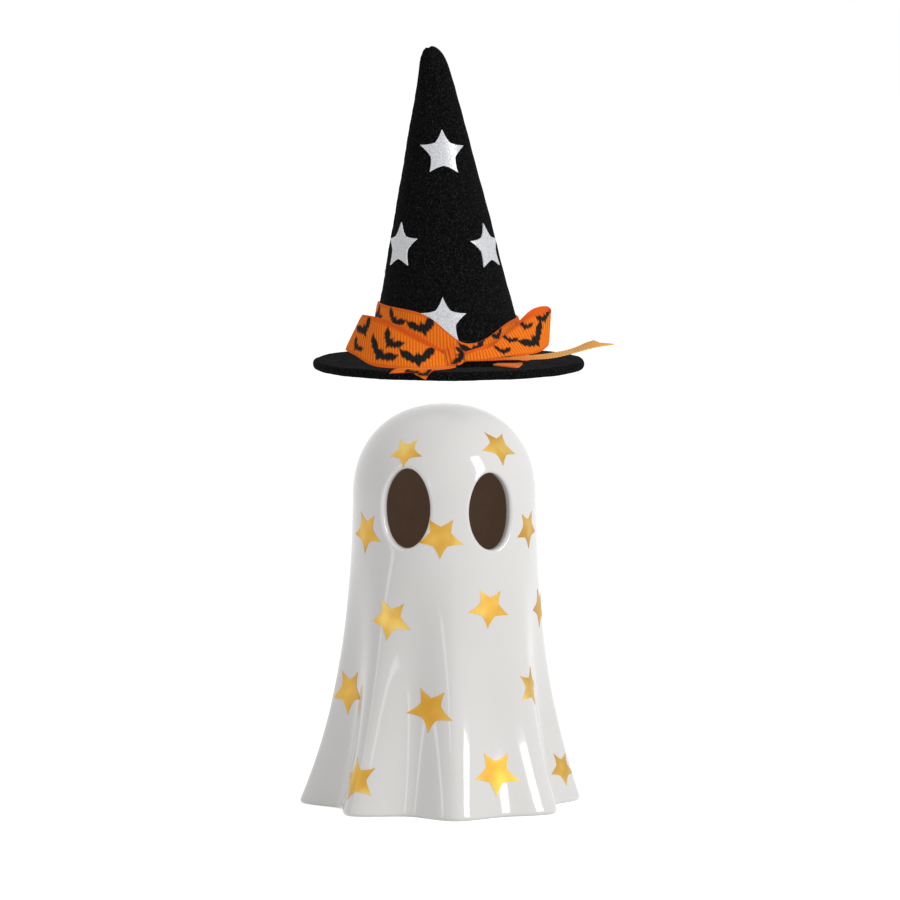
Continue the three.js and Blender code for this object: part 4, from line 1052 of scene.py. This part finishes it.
def ribbon_knot():
    """The knot: a tight wrap of the ribbon, creased down one side."""
    azimuth = np.radians(full_turn(KNOT_COLUMNS))
    climb = np.linspace(math.pi / 2 - KNOT_END, KNOT_END - math.pi / 2, KNOT_ROWS)[:, None]

    def soft(value, power):
        return np.sign(value) * np.abs(value) ** power

    girth = soft(np.cos(climb), KNOT_END_SHAPE)
    x = KNOT_HALF[0] * girth * soft(np.sin(azimuth), KNOT_SHAPE)
    y = KNOT_HALF[1] * girth * soft(-np.cos(azimuth), KNOT_SHAPE)
    z = KNOT_HALF[2] * soft(np.sin(climb), KNOT_SHAPE) + 0 * x
    crease = sum(
        depth * np.exp(-((x - middle - slant * z) / spread) ** 2)
        for middle, slant, spread, depth in KNOT_CREASES
    )
    weave = (x + KNOT_WEAVE_SLANT * z) / RIB_PITCH
    grow = 1 + (KNOT_RIB_HEIGHT * np.cos(2 * math.pi * weave) - crease) / KNOT_HALF[0]
    x_out, y_out = x * grow, y * grow - KNOT_CENTRE_RADIUS
    c, s = math.cos(math.radians(KNOT_AZIMUTH)), math.sin(math.radians(KNOT_AZIMUTH))
    height = z + FELT + KNOT_LIFT + KNOT_HALF[2]
    points = np.stack([x_out * c - y_out * s, x_out * s + y_out * c, height], axis=-1) + [HAT_X, 0, HAT_Z]
    shell = Shell()
    rings = shell.stack(points)
    for k in (0, -1):
        shell.fan(rings[k], points[k].mean(axis=0))
    made = shell.build("ribbon_knot", sharp_angle=None)

    def with_ends(values, *ends):
        return np.append(values.ravel(), ends)

    up = 0.5 + 0.5 * np.sin(climb) + 0 * x
    # The knot's creases take the deeper orange, as painted shade
    keep_weave(
        made, np.stack([with_ends(weave, 0, 0), with_ends(up, 1, 0)], axis=-1),
        with_ends(bat_cover(x, z, [KNOT_BAT]), 0, 0), with_ends(np.clip(crease, 0, 1), 0, 0),
    )
    return made


# The bow's edges: degrees round the crown from the knot's side, mm out from the foot of the crown, and mm
# above the brim. Each loop starts at the knot, goes out along its front, and comes back behind.
LOOP_LEFT = [
    [(-2, 5, 1), (7.4, 8.2, 0.6), (16.5, 10.8, 0.55), (26.4, 12.2, 0.55), (38.6, 12.6, 1.1),
     (50.9, 12.6, 3.9), (62.9, 11.9, 5.8), (60.5, 9.2, 6.4), (50, 5, 5.2), (24.1, 2.9, 2.6), (0, 2.4, 2)],
    [(-2, 4.4, 5.2), (8.9, 5.6, 8.5), (19.5, 6, 11.6), (33.1, 6.2, 15.2), (45.9, 6.4, 17.2),
     (56.6, 5.8, 18), (65.5, 4.6, 17.9), (54.4, 2.4, 17.5), (39.4, 1.4, 16), (20.2, 1.4, 12.5),
     (-0.6, 2.6, 6.6)],
]
LOOP_RIGHT = [
    [(-0.1, 4.9, 3.1), (8.1, 5.6, 3.2), (19.2, 6.6, 3.9), (32.5, 7.6, 4.5), (45, 8.4, 4.4),
     (53.6, 9.4, 5.4), (60.1, 9.6, 7.4), (59.9, 7.3, 7.4), (45.1, 4.2, 5.6), (16.6, 2.6, 4.2), (0, 2.9, 4)],
    [(-0.3, 4.6, 5.1), (7.2, 5, 6.8), (16.3, 5.2, 8), (24.4, 5.6, 11.5), (35.2, 6.4, 15.3), (47, 8, 18.8),
     (62.7, 10.1, 19.6), (63.9, 9, 20.7), (55, 5.2, 20.4), (24, 2.4, 10), (0, 2.7, 6)],
]
TAIL_LEFT = [
    [(-3, 5.2, 0), (6, 11, 0), (13, 16, 0.1), (18.7, 20.4, 0.3), (21.2, 23, 0.4)],
    [(-8, 6.2, 0), (-4, 12.5, 0), (0.5, 17.5, 0.1), (3.9, 22.2, 0.3), (5.6, 25, 0.4)],
]
TAIL_RIGHT = [
    [(0.2, 4.4, 2.9), (12.3, 5.4, 3), (25, 7.4, 3.1), (36.3, 11.5, 3), (43.3, 18, 3.6), (47.3, 24, 5.2),
     (49.3, 28.6, 6.6), (54.9, 31.8, 7.5), (62.1, 34.6, 7.7)],
    [(0.8, 3.2, 3.3), (14.4, 4.2, 3.4), (29.8, 5.6, 3.6), (45.6, 7.5, 3.7), (60.8, 10.6, 3.8),
     (63.2, 16.2, 4.9), (63.2, 20.4, 6.4), (63.3, 23.4, 7.8), (64.5, 26, 8.7)],
]
# The band's own end, cut to a point, shows on the brim beside the knot
RIBBON_END = [
    [(20, 3, 0.95), (21.5, 9, 0.9), (23.5, 15, 0.85), (32, 10, 0.85), (42, 5, 0.9)],
    [(27, 1.5, 1.1), (31, 2.6, 1.1), (35, 3.2, 1), (39, 4, 0.95), (42.3, 4.8, 0.92)],
]


# Materials

def fill(tree, made, values):
    """Sets a node's inputs, and links those whose values are other nodes' sockets."""
    for key, value in values.items():
        if isinstance(value, bpy.types.NodeSocket):
            tree.links.new(value, made.inputs[key])
        else:
            made.inputs[key].default_value = value


def node(tree, kind, values, **settings):
    made = tree.nodes.new("ShaderNode" + kind)
    for key, value in settings.items():
        setattr(made, key, value)
    fill(tree, made, values)
    return made


class Look:
    """A material in the making. The scales of its textures are per metre of the object, and its colours are
    linear."""

    def __init__(self, name, values):
        self.made = bpy.data.materials.new(name)
        self.made.use_nodes = True
        self.tree = self.made.node_tree
        self.place = self.node("TexCoord", {}).outputs["Object"]
        self.set(values)

    def node(self, kind, values, **settings):
        return node(self.tree, kind, values, **settings)

    def set(self, values):
        fill(self.tree, self.tree.nodes["Principled BSDF"], values)

    def noise(self, scale, detail, roughness=0.5):
        values = {"Vector": self.place, "Scale": scale, "Detail": detail, "Roughness": roughness}
        return self.node("TexNoise", values).outputs["Fac"]

    def cells(self, scale):
        return self.node("TexVoronoi", {"Vector": self.place, "Scale": scale}).outputs

    def ramp(self, fac, stops, interpolation="LINEAR"):
        """A colour ramp of (position, colour) pairs."""
        made = self.node("ValToRGB", {"Fac": fac})
        made.color_ramp.interpolation = interpolation
        elements = made.color_ramp.elements
        for k, (position, colour) in enumerate(stops):
            element = elements[k] if k < 2 else elements.new(position)
            element.position = position
            element.color = (*colour, 1)
        return made.outputs["Color"]

    def mask(self, fac, stops):
        """A ramp of (position, brightness) pairs."""
        return self.ramp(fac, [(position, (grey, grey, grey)) for position, grey in stops])

    def mix(self, fac, first, second, **settings):
        return self.node("Mix", {0: fac, 6: first, 7: second}, data_type="RGBA", **settings).outputs[2]

    def spread(self, fac, low, high):
        """fac from 0 to 1, spread over low to high."""
        return self.node("MapRange", {"Value": fac, "To Min": low, "To Max": high}).outputs["Result"]

    def share(self, value, low, high):
        """How far a value lies from low to high."""
        return self.node("MapRange", {"Value": value, "From Min": low, "From Max": high}).outputs["Result"]

    def attribute(self, name):
        return self.node("Attribute", {}, attribute_name=name).outputs["Fac"]

    def bump(self, height, distance, strength, **below):
        made = self.node("Bump", {"Height": height, "Distance": distance, "Strength": strength, **below})
        self.set({"Normal": made.outputs["Normal"]})
        return made.outputs["Normal"]

    def mottle(self, scale, detail, dark, light):
        self.set({"Base Color": self.ramp(self.noise(scale, detail), [(0.3, dark), (0.7, light)])})

    def gloss(self, scale, detail, low, high):
        self.set({"Roughness": self.spread(self.noise(scale, detail), low, high)})

    def grain(self, scale, detail, distance, strength):
        self.bump(self.noise(scale, detail), distance, strength)


def glaze():
    look = Look("white_glaze", {"Roughness": 0.1, "IOR": 1.52, "Coat Weight": 0.5, "Coat Roughness": 0.03})
    look.mottle(18, 3, (0.775, 0.762, 0.74), (0.81, 0.80, 0.783))
    look.gloss(90, 3, 0.07, 0.14)
    look.grain(60, 2, 0.0002, 0.25)
    return look.made


def bisque_painted_shade():
    # Painted shade: the bare clay inside is coloured the dark brown it shows in its own shade, and a faint
    # painted glow stands in for light through the wall, so the inside never looks black
    look = Look("bare_clay_inside_painted_shade", {
        "Roughness": 0.9, "Specular IOR Level": 0.2, "Emission Color": (0.036, 0.023, 0.0155, 1),
        "Emission Strength": 1.0,
    })
    look.mottle(120, 4, (0.22, 0.155, 0.115), (0.27, 0.195, 0.145))
    look.grain(900, 4, 0.0003, 0.4)
    return look.made


def gold():
    look = Look("gold_lustre", {"Metallic": 1.0, "Roughness": 0.3})
    look.set({"Base Color": look.ramp(look.noise(75, 2), [
        (0.3, (0.5, 0.262, 0.036)), (0.5, (0.63, 0.375, 0.072)), (0.72, (0.76, 0.56, 0.17)),
    ])})
    look.gloss(300, 3, 0.32, 0.5)
    look.grain(2500, 3, 0.00004, 0.3)
    return look.made


def felt():
    look = Look("black_felt", {
        "Roughness": 0.95, "Specular IOR Level": 0.02, "Sheen Weight": 0.006, "Sheen Roughness": 0.5,
    })
    fibres = look.noise(1500, 5, 0.65)
    look.set({"Base Color": look.ramp(fibres, [
        (0.35, (0.0015, 0.0015, 0.0015)), (0.55, (0.007, 0.007, 0.0073)), (0.72, (0.035, 0.035, 0.036)),
    ])})
    soft = look.bump(look.noise(260, 4, 0.6), 0.0012, 0.6)
    look.bump(fibres, 0.0005, 0.8, Normal=soft)
    return look.made


def glitter():
    look = Look("silver_glitter", {"Metallic": 0.3, "Roughness": 0.4})
    flake = look.node("SeparateColor", {"Color": look.cells(4500)["Color"]}).outputs
    look.set({
        "Base Color": look.ramp(flake["Red"], [
            (0.0, (0.42, 0.43, 0.46)), (0.3, (0.6, 0.61, 0.63)), (0.8, (0.74, 0.75, 0.77)),
        ]),
        "Roughness": look.spread(flake["Green"], 0.25, 0.6),
    })
    look.bump(flake["Blue"], 0.00006, 0.6)
    return look.made


# Colours of the grosgrain, from between its ribs to their crests: painted shade in the grooves and painted
# light on the crests
RIB_PAINTED_SHADE_AND_LIGHT = [(0.0, (0.85, 0.125, 0.004)), (0.45, (1, 0.19, 0.008)), (1.0, (1, 0.28, 0.018))]
# The ribs between which the right tail turns to its sunlit colour
SUNLIT_RIBS = (12, 32)
SUNLIT_COLOURS = [(0.0, (0.92, 0.36, 0.06)), (1.0, (1, 0.6, 0.17))]
THREAD_SHADES = [(0.25, (0.87, 0.85, 0.82)), (0.75, (1, 1, 1))]
SELVEDGE_COLOUR = (0.78, 0.13, 0.008, 1)
# The ribbon's bare back, deeper orange as painted shade, also painted into the knot's creases
BARE_BACK_AND_CREASE_SHADE_COLOUR = (0.84, 0.115, 0.007, 1)
# The print's black, with painted shade between the ribs and painted light on their crests
INK_AND_RIB_SHADE = [(0.0, (0.004, 0.004, 0.004)), (1.0, (0.016, 0.014, 0.013))]
SELVEDGE_MASK = [
    (0.0, 1), (SELVEDGE * 0.7, 1), (SELVEDGE * 1.3, 0),
    (1 - SELVEDGE * 1.3, 0), (1 - SELVEDGE * 0.7, 1), (1.0, 1),
]


def grosgrain(name, fades=None):
    """Ribbed orange ribbon. fades gives the ribs between which it turns to its sunlit, paler colour."""
    look = Look(name, {
        "Roughness": 0.75, "Specular IOR Level": 0.12, "Sheen Weight": 0.02, "Sheen Roughness": 0.4,
    })
    weave = look.node("SeparateXYZ", {"Vector": look.node("TexCoord", {}).outputs["UV"]}).outputs
    turn = look.node("Math", {0: weave["X"], 1: 2 * math.pi}, operation="MULTIPLY")
    wave = look.node("Math", {0: turn.outputs[0]}, operation="COSINE")
    crest = look.share(wave.outputs[0], -1.0, 1.0)
    threads = look.noise(1600, 3, 0.6)
    shade = look.ramp(threads, THREAD_SHADES)
    # Painted rib shade and light, times the threads' random tone
    dye_and_rib_shade = look.mix(1.0, look.ramp(crest, RIB_PAINTED_SHADE_AND_LIGHT), shade, blend_type="MULTIPLY")
    edged = look.mix(look.mask(weave["Y"], SELVEDGE_MASK), dye_and_rib_shade, SELVEDGE_COLOUR)
    # Painted shade: the bare back and the knot's creases turn deeper orange
    colour = look.mix(look.attribute("inner"), edged, BARE_BACK_AND_CREASE_SHADE_COLOUR)
    if fades:
        colour = look.mix(look.share(weave["X"], *fades), colour, look.ramp(crest, SUNLIT_COLOURS))
    look.set({"Base Color": look.mix(look.attribute("print"), colour, look.ramp(crest, INK_AND_RIB_SHADE))})
    look.bump(threads, 0.00012, 0.6)
    return look.made


def moulded(name, colour, roughness, grain=900, values=None):
    """Moulded plastic or rubber: a faint mottle, a fine grain and uneven gloss."""
    look = Look(name, {"Roughness": roughness, **(values or {})})
    look.mottle(55, 3, tuple(c * 0.9 for c in colour), colour)
    look.gloss(240, 3, roughness * 0.85, roughness * 1.2)
    look.grain(grain, 3, 0.00004, 0.5)
    return look.made


def foam():
    look = Look("foam_ring", {"Roughness": 0.95})
    depth = look.cells(1400)["Distance"]
    look.set({"Base Color": look.ramp(depth, [(0.0, (0.012, 0.012, 0.012)), (0.6, (0.03, 0.03, 0.03))])})
    look.bump(depth, 0.0004, 0.8)
    return look.made


def board():
    """Green solder mask with lighter copper tracks under it."""
    look = Look("board_green", {"Roughness": 0.35, "Coat Weight": 0.3})
    tracks = look.node("TexBrick", {
        "Vector": look.place, "Scale": 160.0, "Mortar Size": 0.03,
        "Color1": (0.012, 0.12, 0.045, 1), "Color2": (0.014, 0.13, 0.05, 1), "Mortar": (0.03, 0.24, 0.1, 1),
    }).outputs
    look.set({"Base Color": tracks["Color"]})
    look.bump(tracks["Fac"], 0.00003, 0.6)
    return look.made


RESISTOR_HALF_BODY = 0.0022


def banded_resistor():
    look = Look("banded_resistor", {"Roughness": 0.45})
    middle = sum(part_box("resistor"), Vector()).y / 2
    y = look.node("SeparateXYZ", {"Vector": look.place}).outputs["Y"]
    body, brown, black, red, gold_band = (
        (0.5, 0.36, 0.2), (0.25, 0.06, 0.02), (0.02, 0.02, 0.02), (0.45, 0.1, 0.02), (0.6, 0.42, 0.1)
    )
    look.set({"Base Color": look.ramp(
        look.share(y, middle - RESISTOR_HALF_BODY, middle + RESISTOR_HALF_BODY),
        [(0.0, body), (0.14, brown), (0.24, body), (0.36, black), (0.46, body), (0.58, red), (0.68, body),
         (0.82, gold_band), (0.92, body)],
        "CONSTANT",
    )})
    look.grain(1500, 2, 0.00003, 0.4)
    return look.made


def steel():
    look = Look("nickelled_steel", {"Metallic": 1.0})
    look.mottle(140, 4, (0.5, 0.5, 0.51), (0.66, 0.66, 0.67))
    look.gloss(700, 4, 0.2, 0.36)
    look.grain(2400, 3, 0.00002, 0.4)
    return look.made


def dress(piece, *looks):
    piece.data.materials.clear()
    for look in looks:
        piece.data.materials.append(look)


def dress_light_unit():
    housing = moulded("white_housing", (0.8, 0.8, 0.78), 0.45)
    metal = steel()
    looks = {
        "light_base": housing,
        "light_lid": housing,
        "battery_door": housing,
        "diffuser": moulded("frosted_diffuser", (0.86, 0.78, 0.62), 0.5, 1500, {
            "Subsurface Weight": 0.4, "Subsurface Scale": 0.003,
        }),
        "foam_gasket": foam(),
        "circuit_board": board(),
        "led_lamp": moulded("lamp_epoxy", (0.85, 0.72, 0.4), 0.12, values={"Transmission Weight": 0.5}),
        "timer_chip": moulded("chip_black", (0.012, 0.012, 0.013), 0.5, 1800),
        "resistor": banded_resistor(),
        "switch_knob": moulded("knob_black", (0.015, 0.015, 0.016), 0.5),
        "wire_red": moulded("wire_red_cover", (0.45, 0.012, 0.01), 0.35),
        "wire_black": moulded("wire_black_cover", (0.012, 0.012, 0.012), 0.35),
    }
    for name, piece in frame["nodes"].items():
        if not name.startswith(("hat_", "bow_", "ghost_")):
            dress(piece, looks.get(name, metal))


# The studio

WHITE = (1, 1, 1, 1)
WORLD_LIGHT = 0.5
FLOOR_GREY = (0.8, 0.8, 0.8, 1)
FLOOR_GLOW = 0.66
FLOOR_HALF = 4.0
LIGHT_TARGET = Vector((0, 0, 0.12))
# Each lamp: azimuth, height in degrees, distance, width and length in metres, and power
LAMPS = {
    "key": (48, 26.5, 1.0, 0.2, 0.61, 4.3),
    "left": (-66, 15, 1.1, 0.09, 0.9, 0.45),
    "front": (-27, 8, 1.6, 0.16, 0.5, 0.4),
}


def seen_directly(tree):
    """1 for the rays that show the background: the camera's, and those reflected or sent through pieces."""
    rays = node(tree, "LightPath", {}).outputs
    first = node(tree, "Math", {0: rays["Is Camera Ray"], 1: rays["Is Glossy Ray"]}, operation="MAXIMUM")
    both = {0: first.outputs[0], 1: rays["Is Transmission Ray"]}
    return node(tree, "Math", both, operation="MAXIMUM").outputs[0]


def world():
    made = bpy.data.worlds.new("studio")
    made.use_nodes = True
    tree = made.node_tree
    tree.nodes.clear()
    light = node(tree, "Background", {"Color": WHITE, "Strength": WORLD_LIGHT}).outputs[0]
    white = node(tree, "Background", {"Color": WHITE, "Strength": 1.0}).outputs[0]
    mix = node(tree, "MixShader", {0: seen_directly(tree), 1: light, 2: white})
    node(tree, "OutputWorld", {0: mix.outputs[0]})
    bpy.context.scene.world = made


def floor():
    mesh = bpy.data.meshes.new("floor")
    corners = [(-1, -1), (1, -1), (1, 1), (-1, 1)]
    mesh.from_pydata([(x * FLOOR_HALF, y * FLOOR_HALF, 0) for x, y in corners], [], [(0, 1, 2, 3)])
    look = bpy.data.materials.new("floor_white")
    look.use_nodes = True
    tree = look.node_tree
    tree.nodes.clear()
    matte = node(tree, "BsdfDiffuse", {"Color": FLOOR_GREY})
    amount = node(tree, "Math", {0: seen_directly(tree), 1: FLOOR_GLOW}, operation="MULTIPLY")
    glow = node(tree, "Emission", {"Color": WHITE, "Strength": amount.outputs[0]})
    both = node(tree, "AddShader", {0: matte.outputs[0], 1: glow.outputs[0]})
    node(tree, "OutputMaterial", {0: both.outputs[0]})
    mesh.materials.append(look)
    new_object("floor", mesh)


def soft_boxes():
    for name, (azimuth, height, distance, width, length, power) in LAMPS.items():
        data = bpy.data.lights.new(name, "AREA")
        data.shape = "RECTANGLE"
        data.size, data.size_y = width, length
        data.energy = power
        a, e = math.radians(azimuth), math.radians(height)
        away = Vector((math.sin(a) * math.cos(e), -math.cos(a) * math.cos(e), math.sin(e)))
        aim(new_object(name, data), LIGHT_TARGET + away * distance, LIGHT_TARGET)


# The whole figure

# Each piece of the bow: its edges, the form that they follow, its side of the knot, the depth of its notch,
# the seed of the bats on its rear half, the solid that it replaces, and how it is held
BOW = {
    "ribbon_loop_left": (LOOP_LEFT, bow_point, -1, 0, 3, "bow_loop_left", "folded"),
    "ribbon_loop_right": (LOOP_RIGHT, bow_point, 1, 0, 4, "bow_loop_right", "folded"),
    "ribbon_tail_left": (TAIL_LEFT, on_brim, -1, TAIL_NOTCH, None, "bow_tail_left", "laid"),
    "ribbon_tail_right": (TAIL_RIGHT, bow_point, 1, FAR_TAIL_NOTCH, None, "bow_tail_right", "hung"),
    "ribbon_end": (RIBBON_END, bow_point, 1, 0, None, None, "laid"),
}

eye = camera()
world()
floor()
soft_boxes()
dress_light_unit()

ghost, inside = ghost_body()
crown, brim = felt_crown(), felt_brim()
silver, knot = silver_stars(eye), ribbon_knot()
ribbons = [(*ribbon_band(eye), "hat_band", "stretched")]
for name, (*form, solid, held) in BOW.items():
    ribbons.append((*ribbon_piece(eye, name, *form), solid, held))

black_felt = felt()
ribbon = grosgrain("orange_grosgrain")
sunlit_ribbon = grosgrain("sunlit_grosgrain", fades=SUNLIT_RIBS)
# Each piece's body, its slot, the solid that it replaces and its looks
pieces = [
    (ghost, "ghost", "glaze", "ghost_shell", glaze(), bisque_painted_shade()),
    (gold_stars(eye), "ghost", "gold", None, gold()),
    (crown, "hat", "felt", "hat_crown", black_felt),
    (brim, "hat", "felt", "hat_brim", black_felt),
    (silver, "hat", "silver_glitter", None, glitter()),
]
for piece, _, _, solid, held in ribbons:
    pieces.append((piece, "hat", "ribbon", solid, sunlit_ribbon if held == "hung" else ribbon))
pieces.append((knot, "hat", "ribbon", "bow_knot", ribbon))
for piece, body, slot, solid, *looks in pieces:
    dress(piece, *looks)
    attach(piece, body)
    if solid:
        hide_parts(solid)
ghost.data.polygons.foreach_set("material_index", [int(flag) for flag in inside])

# The photograph shows no reflection of the raised hat in the glaze
strips = [entry[0] for entry in ribbons]
for piece in [crown, brim, silver, knot] + strips:
    piece.visible_glossy = False
for piece in [crown, brim] + strips:
    piece.visible_diffuse = False
for piece in (crown, brim):
    piece.visible_shadow = False

bpy.context.scene.view_settings.view_transform = "Standard"
